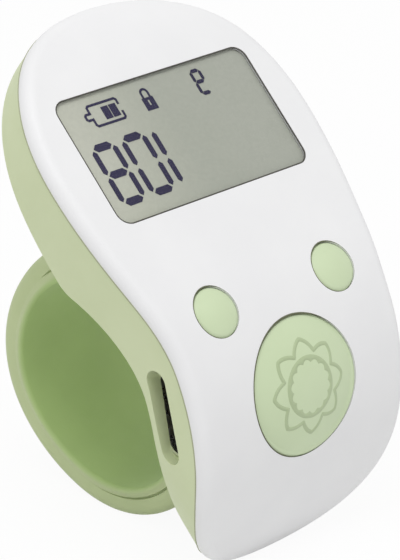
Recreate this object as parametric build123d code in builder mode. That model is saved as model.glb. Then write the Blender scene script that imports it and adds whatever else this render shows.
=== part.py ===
"""A finger-worn digital tally counter: a curved two-part housing on a soft ring, with a display, three
push buttons, a charging port and the electronics that they need.

The counter stands on its ring and on the tip of its housing. The origin is on the finger axis, at the
middle of the ring. +X is the wearer's right, -Y the front and +Z up. Lengths are millimetres and angles
degrees. Inside the housing the places are given in the face frame: x to the right, y up the display
and z out of it, from the finger axis."""

from build123d import *
from math import acos, asin, atan2, cos, degrees, hypot, radians, sin, sqrt, tan
import os

os.makedirs("parts", exist_ok=True)

# General values
OVERRUN = 2.0
TINY = 0.001
FIT_GAP = 0.12
SEAT_GAP = 0.05

# Face of the housing: flat at the display, then an arc about the finger axis
BODY_DEPTH = 7.3
FACE_END_ANGLE = 100.0
CROWN_LENGTH = 8.7
CROWN_R = 24.0

# Outline of the housing, seen square to the display
TOP_REACH = 31.0
FACE_WIDTH = 34.8
WIDEST_AT = 13.7
TONGUE_WIDTH = 29.5
TAPER_END = -7.0
SEAM_ANGLE = 28.0
TOP_ROUND_SHARE = 0.62
TAPER_TOP_SHARE = 0.42
TAPER_LOW_SHARE = 0.25
DRAFT = 4.5

# Rounded lower end, seen along the face
TONGUE_START = 13.3
TONGUE_END = 0.5
TONGUE_SIDE_SHARE = 0.55
TONGUE_TIP_SHARE = 0.6

# Back of the housing: a sloping flat, a saddle for the finger, a ramp and a thin lip at the tip
SADDLE_GAP = 0.7
SADDLE_TOP_ANGLE = -24.0
SADDLE_LOW_ANGLE = 40.0
BACK_SLOPE = 9.6
RIDGE_ROUND = 4.0
TIP_THICKNESS = 2.2

# Walls
COVER_WALL = 1.4
SIDE_WALL = 1.2
BACK_WALL = 1.0
COVER_ROUND = 1.2
LIP_THICKNESS = 0.6
LIP_HEIGHT = 0.8
LIP_GAP = 0.08
LIP_END_ANGLE = 66.0

# Finger ring
RING_BORE_R = 11.3
RING_THICKNESS = 3.1
RING_WIDTH = 12.0
RING_ROUND = 1.0
BORE_ROUND = 0.5
PAD_ANGLE = 30.0
SLIT_R = 12.45
SLIT_WIDTH = 0.3
SLIT_TOP_ANGLE = -92.0
SLIT_LOW_ANGLE = 135.0
STUD_SPACING = 6.4
STUD_R = 1.4
STUD_HEAD_R = 2.1
STUD_HEAD_HEIGHT = 0.8

# Display window and lens
WINDOW_MARGIN = 4.5
WINDOW_HEIGHT = 14.0
WINDOW_ROUND = 1.5
WINDOW_DROP = 9.3
LENS_RECESS = 0.05
LENS_THICKNESS = 0.3

# Display panel: the front layers fill the window, and the wider rear glass stays behind the cover
PANEL_GAP = 0.1
POLARIZER_THICKNESS = 0.15
POLARIZER_INSET = 0.05
REAR_GLASS_LAP = 0.2
LEDGE = 1.3
REAR_GLASS_THICKNESS = 0.5
REFLECTOR_THICKNESS = 0.2
REFLECTOR_INSET = 0.2
PANEL_CORNER = 0.4
FRAME_WALL = 0.4
FRAME_CORNER = 1.5
STRIP_WIDTH = 1.0
STRIP_INSET = 0.3

# Display board
BOARD_THICKNESS = 0.6
BOARD_DEPTH = 3.5
BOARD_LOW_END = -5.2
BOARD_MARGIN = 1.4

# Key board, square to the count button
KEY_TILT = 33.7
KEY_BOARD_THICKNESS = 0.8
KEY_BOARD_DEPTH = 3.8
KEY_BOARD_HIGH_END = 4.0
KEY_BOARD_LOW_END = -8.6
LINK_WIDTH = 8.0
LINK_THICKNESS = 0.15
LINK_OVERLAP = 3.0
LINK_BEND = 1.2

# Battery and chips
BATTERY_LENGTH = 20.0
BATTERY_WIDTH = 10.0
BATTERY_GAP = 0.1
BATTERY_ROUND_SHARE = 0.3
BATTERY_AT = 8.4
PAD_THICKNESS = 0.3
PAD_INSET = 1.0
TAB_WIDTH = 2.0
TAB_THICKNESS = 0.15
TAB_REACH = 2.2
TAB_DROP = 0.9
TAB_SPACING = 8.0
CHIP_R = 3.0
CHIP_HEIGHT = 0.8
CHIP_AT = 18.6
CHARGER_LENGTH = 2.9
CHARGER_WIDTH = 1.6
CHARGER_HEIGHT = 1.1
CHARGER_ACROSS = 5.0
CHARGER_ALONG = -3.4

# Charging port
PORT_LENGTH = 8.94
PORT_HEIGHT = 3.26
PORT_WALL = 0.3
PORT_DEPTH = 6.0
PORT_ALONG = 0.6
PORT_SETBACK = 5.25
PORT_GAP = 0.1
PORT_RECESS_LENGTH = 9.6
PORT_RECESS_HEIGHT = 2.56
PORT_RECESS_DEPTH = 1.55
PORT_COLLAR = 0.6
TONGUE_PLATE_LENGTH = 6.7
TONGUE_PLATE_THICKNESS = 0.7
TONGUE_PLATE_SETBACK = 0.8
PORT_BLOCK_DEPTH = 1.6

# Buttons
COUNT_R = 7.0
COUNT_PROUD = 0.8
COUNT_DOME = 1.1
COUNT_CROWN_R = 12.5
COUNT_TRAVEL = 0.5
COUNT_FLANGE_DEPTH = 2.35
COUNT_FLANGE = 0.55
COUNT_FLANGE_THICKNESS = 0.5
COUNT_TOP_THICKNESS = 1.4
COUNT_STEM_R = 1.8
SMALL_R = 2.62
SMALL_PROUD = 0.25
SMALL_CROWN_R = 7.0
SMALL_TRAVEL = 0.3
SMALL_MARGIN = 6.65
SMALL_AT = -3.15
SMALL_FLANGE_DEPTH = 2.15
SMALL_FLANGE = 0.7
SMALL_FLANGE_THICKNESS = 0.6
SMALL_TOP_THICKNESS = 1.3
SMALL_STEM_R = 0.9
CAP_WALL = 1.1
SMALL_CAP_WALL = 0.35
CAP_ROUND = 0.25
COLLAR_WALL = 1.0

# Switches
COUNT_SWITCH_SIZE = 5.2
COUNT_SWITCH_HEIGHT = 0.9
COUNT_PLUNGER_R = 1.5
COUNT_PLUNGER_DEPTH = 2.4
SMALL_SWITCH_SIZE = 3.0
SMALL_SWITCH_HEIGHT = 0.8
SMALL_PLUNGER_R = 0.75
SMALL_PLUNGER_DEPTH = 2.35
SWITCH_CORNER = 0.4
SWITCH_FLOOR = 0.05
PLUNGER_GAP = 0.06

# Screws and their bosses
SCREW_R = 0.65
SCREW_HEAD_R = 1.2
SCREW_HEAD_HEIGHT = 0.6
SCREW_GAP = 0.1
PILOT_GAP = 0.02
BOSS_WALL = 0.9
BOARD_SCREW_R = 0.5
BOARD_SCREW_HEAD_R = 1.0
BOARD_SCREW_HEAD_HEIGHT = 0.5
UPPER_SCREW_MARGIN = 9.4
UPPER_SCREW_RISE = 3.2
UPPER_SEAT_DEPTH = 4.9
UPPER_SCREW_REACH = 2.8
LOWER_SCREW_MARGIN = 5.55
LOWER_SCREW_AT = -6.6
LOWER_SEAT_DEPTH = 6.8
LOWER_SCREW_REACH = 4.6
BOARD_SCREW_MARGIN = 3.35
BOARD_SCREW_DROP = 6.2
BOARD_SCREW_REACH = 1.9
RECESS_GAP = 0.15
DRIVE_LENGTH_SHARE = 1.3
DRIVE_WIDTH_SHARE = 0.32
DRIVE_DEPTH_SHARE = 0.5

# Sizes that follow from those above
RING_R = RING_BORE_R + RING_THICKNESS
SADDLE_R = RING_R + SADDLE_GAP
FACE_R = SADDLE_R + BODY_DEPTH
CROWN_START = TOP_REACH - CROWN_LENGTH
LIP_R = FACE_R - TIP_THICKNESS
COVER_INSIDE = FACE_R - COVER_WALL
LIP_INSET = SIDE_WALL + LIP_GAP
BOARD_INSET = LIP_INSET + LIP_THICKNESS + FIT_GAP
BOARD_TOP = FACE_R - BOARD_DEPTH
BOARD_BOTTOM = BOARD_TOP - BOARD_THICKNESS
KEY_BOARD_TOP = FACE_R - KEY_BOARD_DEPTH
KEY_BOARD_BOTTOM = KEY_BOARD_TOP - KEY_BOARD_THICKNESS
WINDOW_WIDTH = FACE_WIDTH - 2 * WINDOW_MARGIN
WINDOW_AT = TOP_REACH - WINDOW_DROP - WINDOW_HEIGHT / 2
LENS_TOP = FACE_R - LENS_RECESS
POLARIZER_TOP = LENS_TOP - LENS_THICKNESS
FRONT_GLASS_TOP = POLARIZER_TOP - POLARIZER_THICKNESS
REAR_GLASS_TOP = COVER_INSIDE - SEAT_GAP
REFLECTOR_TOP = REAR_GLASS_TOP - REAR_GLASS_THICKNESS
PANEL_WIDTH = WINDOW_WIDTH - 2 * PANEL_GAP
PANEL_HEIGHT = WINDOW_HEIGHT - 2 * PANEL_GAP
REAR_GLASS_WIDTH = WINDOW_WIDTH + 2 * REAR_GLASS_LAP
REAR_GLASS_HEIGHT = PANEL_HEIGHT - 2 * LEDGE
FRAME_WIDTH = REAR_GLASS_WIDTH + 2 * FIT_GAP
FRAME_HEIGHT = PANEL_HEIGHT + 2 * FIT_GAP
BATTERY_TOP = BOARD_BOTTOM - PAD_THICKNESS
BATTERY_THICKNESS = BATTERY_TOP - SADDLE_R - BACK_WALL - BATTERY_GAP
BATTERY_ROUND = BATTERY_THICKNESS * BATTERY_ROUND_SHARE
BATTERY_HIGH_END = BATTERY_AT + BATTERY_WIDTH / 2
PORT_LEVEL = FACE_R - PORT_SETBACK
PORT_HEIGHT_AT = PORT_LEVEL * cos(radians(KEY_TILT)) + PORT_ALONG * sin(radians(KEY_TILT))
PORT_WALL_AT = TONGUE_WIDTH / 2 - (FACE_R - PORT_HEIGHT_AT) * tan(radians(DRAFT))
PORT_MOUTH = -(PORT_WALL_AT - PORT_RECESS_DEPTH)
COUNT_FLANGE_LEVEL = FACE_R - COUNT_FLANGE_DEPTH
SMALL_FLANGE_LEVEL = FACE_R - SMALL_FLANGE_DEPTH
COUNT_PLUNGER_TOP = FACE_R - COUNT_PLUNGER_DEPTH
SMALL_PLUNGER_TOP = FACE_R - SMALL_PLUNGER_DEPTH
SMALL_ACROSS = TONGUE_WIDTH / 2 - SMALL_MARGIN
UPPER_SCREW_SPACING = FACE_WIDTH - 2 * UPPER_SCREW_MARGIN
UPPER_SCREW_AT = WINDOW_AT + WINDOW_HEIGHT / 2 + UPPER_SCREW_RISE
UPPER_SEAT = FACE_R - UPPER_SEAT_DEPTH
LOWER_SCREW_SPACING = TONGUE_WIDTH - 2 * LOWER_SCREW_MARGIN
LOWER_SEAT = FACE_R - LOWER_SEAT_DEPTH
BOARD_SCREW_SPACING = TONGUE_WIDTH - 2 * BOARD_SCREW_MARGIN
BOARD_SCREW_AT = WINDOW_AT - WINDOW_HEIGHT / 2 - BOARD_SCREW_DROP
BOARD_HIGH_END = UPPER_SCREW_AT + BOARD_MARGIN

# The lean at which the ring and the rounded tip stand on one level
TIP_CENTRE = (FACE_R - COVER_ROUND, TONGUE_END + COVER_ROUND)
LEAN = degrees(acos((RING_R - COVER_ROUND) / hypot(*TIP_CENTRE)) - atan2(TIP_CENTRE[1], TIP_CENTRE[0]))

# The face frame and the planes to draw on
FACE = Plane((0, 0, 0), x_dir=(1, 0, 0), z_dir=(0, -cos(radians(LEAN)), sin(radians(LEAN))))
SIDE = Plane((0, 0, 0), x_dir=FACE.y_dir, z_dir=(1, 0, 0))
END = Plane((0, 0, 0), x_dir=(1, 0, 0), z_dir=-FACE.y_dir)


def tilted(angle):
    """The face frame, turned down the face about the finger axis."""
    return Plane(FACE.location * Rotation(angle, 0, 0))


KEY = tilted(KEY_TILT)


def across(frame):
    """The plane of a frame's y and z, to draw what is seen from the side."""
    return Plane((0, 0, 0), x_dir=frame.y_dir, z_dir=frame.x_dir)


def polar(radius, angle):
    """A point of the side view, at a radius from the finger axis and an angle down from the display."""
    return (-radius * sin(radians(angle)), radius * cos(radians(angle)))


# Blanks of the housing


def drawn_in(inset, level):
    """An inset, made larger by the draft of the side walls at a level above the finger axis."""
    return inset + (FACE_R - level) * tan(radians(DRAFT))


def plan_outline(inset, level):
    """The plan outline at a level above the finger axis, drawn in by an inset."""
    half = FACE_WIDTH / 2 - drawn_in(inset, level)
    neck = TONGUE_WIDTH / 2 - drawn_in(inset, level)
    top = TOP_REACH - drawn_in(inset, level)
    crown = top - WIDEST_AT
    taper = WIDEST_AT - TAPER_END
    with BuildSketch(FACE.offset(level)) as outline:
        with BuildLine():
            Bezier(
                (0, top),
                (half * TOP_ROUND_SHARE, top),
                (half, WIDEST_AT + crown * TOP_ROUND_SHARE),
                (half, WIDEST_AT),
            )
            Bezier(
                (half, WIDEST_AT),
                (half, WIDEST_AT - taper * TAPER_TOP_SHARE),
                (neck, TAPER_END + taper * TAPER_LOW_SHARE),
                (neck, TAPER_END),
            )
            Polyline((neck, TAPER_END), (neck, -FACE_R), (0, -FACE_R))
            mirror(about=Plane.YZ)
        make_face()
    return outline.sketch


def upper_prism(inset):
    """The inside of the drafted plan outline, drawn in by an inset, above the seam of the tongue."""
    with BuildPart() as prism:
        loft([plan_outline(inset, 0), plan_outline(inset, FACE_R + OVERRUN)], ruled=True)
        split(bisect_by=Plane((0, 0, 0), z_dir=tilted(SEAM_ANGLE).y_dir), keep=Keep.TOP)
    return prism.part


def lower_prism(inset):
    """The inside of the rounded tongue, drawn in by an inset, below its seam."""
    top = FACE_R + OVERRUN
    end = TONGUE_END + inset
    reach = (TONGUE_START - end) * TONGUE_SIDE_SHARE
    neck_top = TONGUE_WIDTH / 2 - drawn_in(inset, top)
    neck = TONGUE_WIDTH / 2 - drawn_in(inset, TONGUE_START)
    neck_low = TONGUE_WIDTH / 2 - drawn_in(inset, TONGUE_START - reach)
    with BuildPart() as prism:
        with BuildSketch(END):
            with BuildLine():
                Polyline((0, top), (neck_top, top), (neck, TONGUE_START))
                Bezier(
                    (neck, TONGUE_START),
                    (neck_low, TONGUE_START - reach),
                    (neck * TONGUE_TIP_SHARE, end),
                    (0, end),
                )
                mirror(about=Plane.YZ)
            make_face()
        extrude(amount=FACE_R + OVERRUN)
        split(bisect_by=Plane((0, 0, 0), z_dir=tilted(SEAM_ANGLE).y_dir), keep=Keep.BOTTOM)
    return prism.part


def outline_prism(inset):
    """All that lies inside the outline of the housing, drawn in by an inset."""
    with BuildPart() as prism:
        add(upper_prism(inset))
        add(lower_prism(inset))
    return prism.part


def behind_face(depth):
    """The side view of all that lies deeper than a depth below the face."""
    crown_centre = (CROWN_START, FACE_R - CROWN_R)
    crown_r = CROWN_R - depth
    high = TOP_REACH + OVERRUN
    crown_angle = asin((high - CROWN_START) / crown_r)
    crown_end = (high, crown_centre[1] + crown_r * cos(crown_angle))
    crown_mid = (
        CROWN_START + crown_r * sin(crown_angle / 2),
        crown_centre[1] + crown_r * cos(crown_angle / 2),
    )
    radius = FACE_R - depth
    with BuildSketch(SIDE) as side:
        with BuildLine():
            ThreePointArc(crown_end, crown_mid, (CROWN_START, radius))
            Line((CROWN_START, radius), (0, radius))
            ThreePointArc((0, radius), polar(radius, FACE_END_ANGLE / 2), polar(radius, FACE_END_ANGLE))
            Polyline(polar(radius, FACE_END_ANGLE), (high, polar(radius, FACE_END_ANGLE)[1]), crown_end)
        make_face()
    return side.sketch


def ahead_of_back(depth):
    """The side view of all that lies further forward than a depth inside the back."""
    saddle = SADDLE_R + depth
    lip = LIP_R + depth
    slope = radians(BACK_SLOPE)
    ridge_at = polar(SADDLE_R, SADDLE_TOP_ANGLE)
    off_axis = depth - ridge_at[0] * sin(slope) + ridge_at[1] * cos(slope)
    along = sqrt(saddle**2 - off_axis**2)
    ridge = (along * cos(slope) - off_axis * sin(slope), along * sin(slope) + off_axis * cos(slope))
    ridge_angle = degrees(atan2(-ridge[0], ridge[1]))
    high = TOP_REACH + OVERRUN
    back_top = (high, ridge[1] + (high - ridge[0]) * sin(slope) / cos(slope))
    lip_angle = SADDLE_LOW_ANGLE + degrees(acos(saddle / lip))
    lip_end = polar(lip, FACE_END_ANGLE)
    clear = FACE_R + OVERRUN
    with BuildSketch(SIDE) as side:
        with BuildLine():
            Line(back_top, ridge)
            ThreePointArc(
                ridge,
                polar(saddle, (ridge_angle + SADDLE_LOW_ANGLE) / 2),
                polar(saddle, SADDLE_LOW_ANGLE),
            )
            Line(polar(saddle, SADDLE_LOW_ANGLE), polar(lip, lip_angle))
            ThreePointArc(polar(lip, lip_angle), polar(lip, (lip_angle + FACE_END_ANGLE) / 2), lip_end)
            Polyline(lip_end, (-clear, lip_end[1]), (-clear, clear), (high, clear), back_top)
        make_face()
        corners = side.vertices()
        fillet(corners.sort_by_distance((*ridge, 0))[0], RIDGE_ROUND - depth)
    return side.sketch


def side_block(view):
    """A side view, drawn out past both sides of the housing."""
    with BuildPart() as block:
        extrude(view, amount=FACE_WIDTH, dir=SIDE.z_dir, both=True)
    return block.part


def shell_blank(front_depth, back_depth, inset):
    """The housing's outer form, drawn in by three depths: from the face, the back and the outline."""
    with BuildPart() as blank:
        add(outline_prism(inset))
        add(side_block(behind_face(front_depth)), mode=Mode.INTERSECT)
        add(side_block(ahead_of_back(back_depth)), mode=Mode.INTERSECT)
    return blank.part


def face_plate(outer_depth, inner_depth, inset):
    """A layer that follows the face between two depths, inside the outline."""
    with BuildPart() as plate:
        add(outline_prism(inset))
        add(side_block(behind_face(outer_depth)), mode=Mode.INTERSECT)
        add(side_block(behind_face(inner_depth)), mode=Mode.SUBTRACT)
    return plate.part


def depth_below_face(point):
    """How deep a point lies below the face."""
    place = FACE.to_local_coords(point)
    if place.Y > CROWN_START:
        return CROWN_R - hypot(place.Y - CROWN_START, place.Z - FACE_R + CROWN_R)
    if place.Y > 0:
        return FACE_R - place.Z
    return FACE_R - hypot(place.Y, place.Z)


def pair(spacing, along):
    """Two places side by side in a sketch."""
    return Locations((-spacing / 2, along), (spacing / 2, along))


def finish(piece, name):
    """Labels a finished piece and writes it to its own file."""
    piece.part.label = name
    export_step(piece.part, f"parts/{name}.step")


# Front cover: a curved plate with a locating lip, button guides and screw bosses
BOSS_R = SCREW_R + SCREW_GAP + BOSS_WALL
BOARD_BOSS_R = BOARD_SCREW_R + BOSS_WALL
COUNT_FLANGE_R = COUNT_R + COUNT_FLANGE
SMALL_FLANGE_R = SMALL_R + SMALL_FLANGE
COUNT_GUIDE_LEVEL = COUNT_FLANGE_LEVEL + SEAT_GAP
SMALL_GUIDE_LEVEL = SMALL_FLANGE_LEVEL + SEAT_GAP

with BuildPart() as lip:
    add(face_plate(COVER_WALL / 2, COVER_WALL + LIP_HEIGHT, LIP_INSET))
    add(outline_prism(LIP_INSET + LIP_THICKNESS), mode=Mode.SUBTRACT)
    split(bisect_by=Plane((0, 0, 0), z_dir=tilted(LIP_END_ANGLE).y_dir), keep=Keep.TOP)

with BuildPart() as cover_inside:
    with BuildSketch(FACE.offset(BOARD_TOP)):
        with pair(UPPER_SCREW_SPACING, UPPER_SCREW_AT):
            Circle(BOSS_R)
        with pair(BOARD_SCREW_SPACING, BOARD_SCREW_AT):
            Circle(BOARD_BOSS_R)
    extrude(amount=FACE_R - BOARD_TOP)
    with BuildSketch(KEY.offset(KEY_BOARD_TOP)):
        with pair(LOWER_SCREW_SPACING, LOWER_SCREW_AT):
            Circle(BOSS_R)
    extrude(amount=FACE_R - KEY_BOARD_TOP)
    with BuildSketch(FACE.offset(SMALL_GUIDE_LEVEL)):
        with pair(2 * SMALL_ACROSS, SMALL_AT):
            Circle(SMALL_R + COLLAR_WALL)
    extrude(amount=FACE_R - SMALL_GUIDE_LEVEL)
    with BuildSketch(KEY.offset(COUNT_GUIDE_LEVEL)):
        Circle(COUNT_R + COLLAR_WALL)
    extrude(amount=FACE_R - COUNT_GUIDE_LEVEL)
    add(side_block(behind_face(COVER_WALL / 2)), mode=Mode.INTERSECT)

with BuildPart() as front_cover:
    add(face_plate(0, COVER_WALL, 0))
    rim = front_cover.edges().filter_by(lambda edge: depth_below_face(edge @ 0.5) < TINY)
    fillet(rim.filter_by(Axis.X, reverse=True), COVER_ROUND)
    add(lip.part)
    add(cover_inside.part)
    with BuildSketch(FACE.offset(COVER_INSIDE - OVERRUN)):
        with Locations((0, WINDOW_AT)):
            RectangleRounded(WINDOW_WIDTH, WINDOW_HEIGHT, WINDOW_ROUND)
    extrude(amount=COVER_WALL + 2 * OVERRUN, mode=Mode.SUBTRACT)
    with BuildSketch(FACE.offset(COVER_INSIDE)):
        with Locations((0, WINDOW_AT)):
            RectangleRounded(
                FRAME_WIDTH + 2 * (FRAME_WALL + FIT_GAP),
                FRAME_HEIGHT + 2 * (FRAME_WALL + FIT_GAP),
                FRAME_CORNER,
            )
    extrude(amount=-OVERRUN, mode=Mode.SUBTRACT)
    with BuildSketch(FACE.offset(SMALL_GUIDE_LEVEL)):
        with pair(2 * SMALL_ACROSS, SMALL_AT):
            Circle(SMALL_R)
    extrude(amount=FACE_R - SMALL_GUIDE_LEVEL + OVERRUN, mode=Mode.SUBTRACT)
    with BuildSketch(FACE.offset(SMALL_GUIDE_LEVEL)):
        with pair(2 * SMALL_ACROSS, SMALL_AT):
            Circle(SMALL_FLANGE_R + FIT_GAP)
    extrude(amount=-OVERRUN, mode=Mode.SUBTRACT)
    with BuildSketch(KEY.offset(COUNT_GUIDE_LEVEL)):
        Circle(COUNT_R)
    extrude(amount=FACE_R - COUNT_GUIDE_LEVEL + OVERRUN, mode=Mode.SUBTRACT)
    with BuildSketch(KEY.offset(COUNT_GUIDE_LEVEL)):
        Circle(COUNT_FLANGE_R + FIT_GAP)
    extrude(amount=-OVERRUN, mode=Mode.SUBTRACT)
    with BuildSketch(FACE.offset(BOARD_TOP)):
        with pair(UPPER_SCREW_SPACING, UPPER_SCREW_AT):
            Circle(SCREW_R + PILOT_GAP)
    extrude(amount=UPPER_SEAT + UPPER_SCREW_REACH + SEAT_GAP - BOARD_TOP, mode=Mode.SUBTRACT)
    with BuildSketch(FACE.offset(BOARD_TOP)):
        with pair(BOARD_SCREW_SPACING, BOARD_SCREW_AT):
            Circle(BOARD_SCREW_R + PILOT_GAP)
    extrude(amount=BOARD_SCREW_REACH - BOARD_THICKNESS + SEAT_GAP, mode=Mode.SUBTRACT)
    with BuildSketch(KEY.offset(KEY_BOARD_TOP)):
        with pair(LOWER_SCREW_SPACING, LOWER_SCREW_AT):
            Circle(SCREW_R + PILOT_GAP)
    extrude(amount=LOWER_SEAT + LOWER_SCREW_REACH + SEAT_GAP - KEY_BOARD_TOP, mode=Mode.SUBTRACT)
finish(front_cover, "front_cover")

# Back cover: a hollow shell with a finger saddle, screw bosses, the port's recess and the stud holes
PORT = Plane(KEY.from_local_coords((0, PORT_ALONG, PORT_LEVEL)), x_dir=KEY.y_dir, z_dir=(-1, 0, 0))
PORT_ROOM = PORT_GAP + PORT_COLLAR

with BuildPart() as back_bosses:
    with BuildSketch(FACE.offset(UPPER_SEAT - SCREW_HEAD_HEIGHT)):
        with pair(UPPER_SCREW_SPACING, UPPER_SCREW_AT):
            Circle(BOSS_R)
    extrude(amount=BOARD_BOTTOM - UPPER_SEAT + SCREW_HEAD_HEIGHT)
    with BuildSketch(KEY.offset(LOWER_SEAT - OVERRUN)):
        with pair(LOWER_SCREW_SPACING, LOWER_SCREW_AT):
            Circle(BOSS_R)
    extrude(amount=KEY_BOARD_BOTTOM - LOWER_SEAT + OVERRUN)
    with BuildSketch(PORT.offset(-(PORT_MOUTH + PORT_COLLAR))):
        SlotOverall(PORT_LENGTH + 2 * PORT_ROOM, PORT_HEIGHT + 2 * PORT_ROOM)
    extrude(amount=PORT_RECESS_DEPTH)
    add(shell_blank(COVER_WALL + LIP_HEIGHT, BACK_WALL / 2, 0), mode=Mode.INTERSECT)

with BuildPart() as back_cover:
    add(shell_blank(COVER_WALL, 0, 0))
    add(shell_blank(COVER_WALL / 2, BACK_WALL, SIDE_WALL), mode=Mode.SUBTRACT)
    add(back_bosses.part)
    for frame, spacing, along, seat in (
        (FACE, UPPER_SCREW_SPACING, UPPER_SCREW_AT, UPPER_SEAT),
        (KEY, LOWER_SCREW_SPACING, LOWER_SCREW_AT, LOWER_SEAT),
    ):
        with BuildSketch(frame.offset(seat)):
            with pair(spacing, along):
                Circle(SCREW_R + SCREW_GAP)
        extrude(amount=2 * OVERRUN, mode=Mode.SUBTRACT)
        with BuildSketch(frame.offset(seat)):
            with pair(spacing, along):
                Circle(SCREW_HEAD_R + RECESS_GAP)
        extrude(amount=-OVERRUN, mode=Mode.SUBTRACT)
    with BuildSketch(PORT.offset(-PORT_MOUTH)):
        SlotOverall(PORT_RECESS_LENGTH, PORT_RECESS_HEIGHT)
    extrude(amount=OVERRUN, mode=Mode.SUBTRACT)
    with BuildSketch(PORT.offset(-PORT_MOUTH)):
        SlotOverall(PORT_LENGTH + 2 * PORT_GAP, PORT_HEIGHT + 2 * PORT_GAP)
    extrude(amount=-(PORT_DEPTH + PORT_GAP), mode=Mode.SUBTRACT)
    with BuildSketch(FACE.offset(SADDLE_R - OVERRUN)):
        with pair(STUD_SPACING, 0):
            Circle(STUD_R + FIT_GAP)
    extrude(amount=BACK_WALL + 2 * OVERRUN, mode=Mode.SUBTRACT)
finish(back_cover, "back_cover")


def panel_layer(top, thickness, width, height, corner):
    """A flat layer of the display."""
    with BuildPart() as layer:
        with BuildSketch(FACE.offset(top - thickness)):
            with Locations((0, WINDOW_AT)):
                RectangleRounded(width, height, corner)
        extrude(amount=thickness)
    return layer


def window_layer(top, thickness, inset):
    """A layer that fills the window, drawn in by an inset."""
    corner = WINDOW_ROUND - PANEL_GAP - inset
    return panel_layer(top, thickness, PANEL_WIDTH - 2 * inset, PANEL_HEIGHT - 2 * inset, corner)


def rear_layer(top, thickness, inset):
    """A layer behind the cover, as wide as the rear glass, drawn in by an inset."""
    width = REAR_GLASS_WIDTH - 2 * inset
    return panel_layer(top, thickness, width, REAR_GLASS_HEIGHT - 2 * inset, PANEL_CORNER)


# Display: a lens film, a polarizer and the front glass fill the window, with the rear glass and a
# reflector behind it
finish(window_layer(LENS_TOP, LENS_THICKNESS, 0), "display_lens")
finish(window_layer(POLARIZER_TOP, POLARIZER_THICKNESS, POLARIZER_INSET), "lcd_polarizer")
finish(window_layer(FRONT_GLASS_TOP, FRONT_GLASS_TOP - REAR_GLASS_TOP, 0), "lcd_front_glass")
finish(rear_layer(REAR_GLASS_TOP, REAR_GLASS_THICKNESS, 0), "lcd_rear_glass")
finish(rear_layer(REFLECTOR_TOP, REFLECTOR_THICKNESS, REFLECTOR_INSET), "lcd_reflector")

# Frame round the panel, and the two elastic strips from the board to the front glass
with BuildPart() as lcd_frame:
    with BuildSketch(FACE.offset(BOARD_TOP)):
        with Locations((0, WINDOW_AT)):
            RectangleRounded(FRAME_WIDTH + 2 * FRAME_WALL, FRAME_HEIGHT + 2 * FRAME_WALL, FRAME_CORNER)
            RectangleRounded(FRAME_WIDTH, FRAME_HEIGHT, PANEL_CORNER, mode=Mode.SUBTRACT)
    extrude(amount=COVER_INSIDE - SEAT_GAP - BOARD_TOP)
finish(lcd_frame, "lcd_frame")

with BuildPart() as contact_strips:
    with BuildSketch(FACE.offset(BOARD_TOP)):
        with Locations((0, WINDOW_AT)):
            with GridLocations(0, PANEL_HEIGHT - LEDGE, 1, 2):
                Rectangle(PANEL_WIDTH - 2 * STRIP_INSET, STRIP_WIDTH)
    extrude(amount=REAR_GLASS_TOP - BOARD_TOP)
finish(contact_strips, "contact_strips")

# Display board: it follows the outline of the housing, is clamped by the upper bosses and is held by
# two small screws
with BuildPart() as display_board:
    with BuildSketch(FACE.offset(BOARD_BOTTOM)):
        with Locations((0, BOARD_LOW_END)):
            Rectangle(FACE_WIDTH, BOARD_HIGH_END - BOARD_LOW_END, align=(Align.CENTER, Align.MIN))
    extrude(amount=BOARD_THICKNESS)
    add(outline_prism(BOARD_INSET), mode=Mode.INTERSECT)
    with BuildSketch(FACE.offset(BOARD_BOTTOM)):
        with pair(UPPER_SCREW_SPACING, UPPER_SCREW_AT):
            Circle(SCREW_R + SCREW_GAP)
        with pair(BOARD_SCREW_SPACING, BOARD_SCREW_AT):
            Circle(BOARD_SCREW_R + SCREW_GAP)
    extrude(amount=BOARD_THICKNESS, mode=Mode.SUBTRACT)
finish(display_board, "display_board")

# Key board, with a corner notch for the charging port
PORT_END = PORT_MOUTH + PORT_DEPTH
NOTCH_LOW = PORT_ALONG - (PORT_LENGTH / 2 + PORT_ROOM + PORT_GAP)

with BuildPart() as key_board:
    with BuildSketch(KEY.offset(KEY_BOARD_BOTTOM)):
        with Locations((0, KEY_BOARD_LOW_END)):
            Rectangle(TONGUE_WIDTH, KEY_BOARD_HIGH_END - KEY_BOARD_LOW_END, align=(Align.CENTER, Align.MIN))
        with Locations((PORT_END + PORT_GAP, NOTCH_LOW)):
            Rectangle(TONGUE_WIDTH, TONGUE_WIDTH, align=(Align.MAX, Align.MIN), mode=Mode.SUBTRACT)
        with pair(LOWER_SCREW_SPACING, LOWER_SCREW_AT):
            Circle(SCREW_R + SCREW_GAP, mode=Mode.SUBTRACT)
    extrude(amount=KEY_BOARD_THICKNESS)
    add(outline_prism(BOARD_INSET), mode=Mode.INTERSECT)
finish(key_board, "key_board")

# Flexible link: a thin strip that bends from under one board to under the other
FOLD_AT = -(KEY_BOARD_BOTTOM - BOARD_BOTTOM * cos(radians(KEY_TILT))) / sin(radians(KEY_TILT))
FOLD_ALONG = FOLD_AT * cos(radians(KEY_TILT)) + BOARD_BOTTOM * sin(radians(KEY_TILT))
LINK_FAR_ALONG = KEY_BOARD_HIGH_END - LINK_OVERLAP
LINK_FAR = SIDE.to_local_coords(KEY.from_local_coords((0, LINK_FAR_ALONG, KEY_BOARD_BOTTOM)))

with BuildPart() as board_link:
    with BuildSketch(SIDE):
        with BuildLine() as link_line:
            FilletPolyline(
                (FOLD_AT + LINK_OVERLAP, BOARD_BOTTOM),
                (FOLD_AT, BOARD_BOTTOM),
                (LINK_FAR.X, LINK_FAR.Y),
                radius=LINK_BEND,
            )
            offset(amount=LINK_THICKNESS, side=Side.LEFT)
        make_face()
    extrude(amount=LINK_WIDTH / 2, both=True)
finish(board_link, "board_link")

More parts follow.
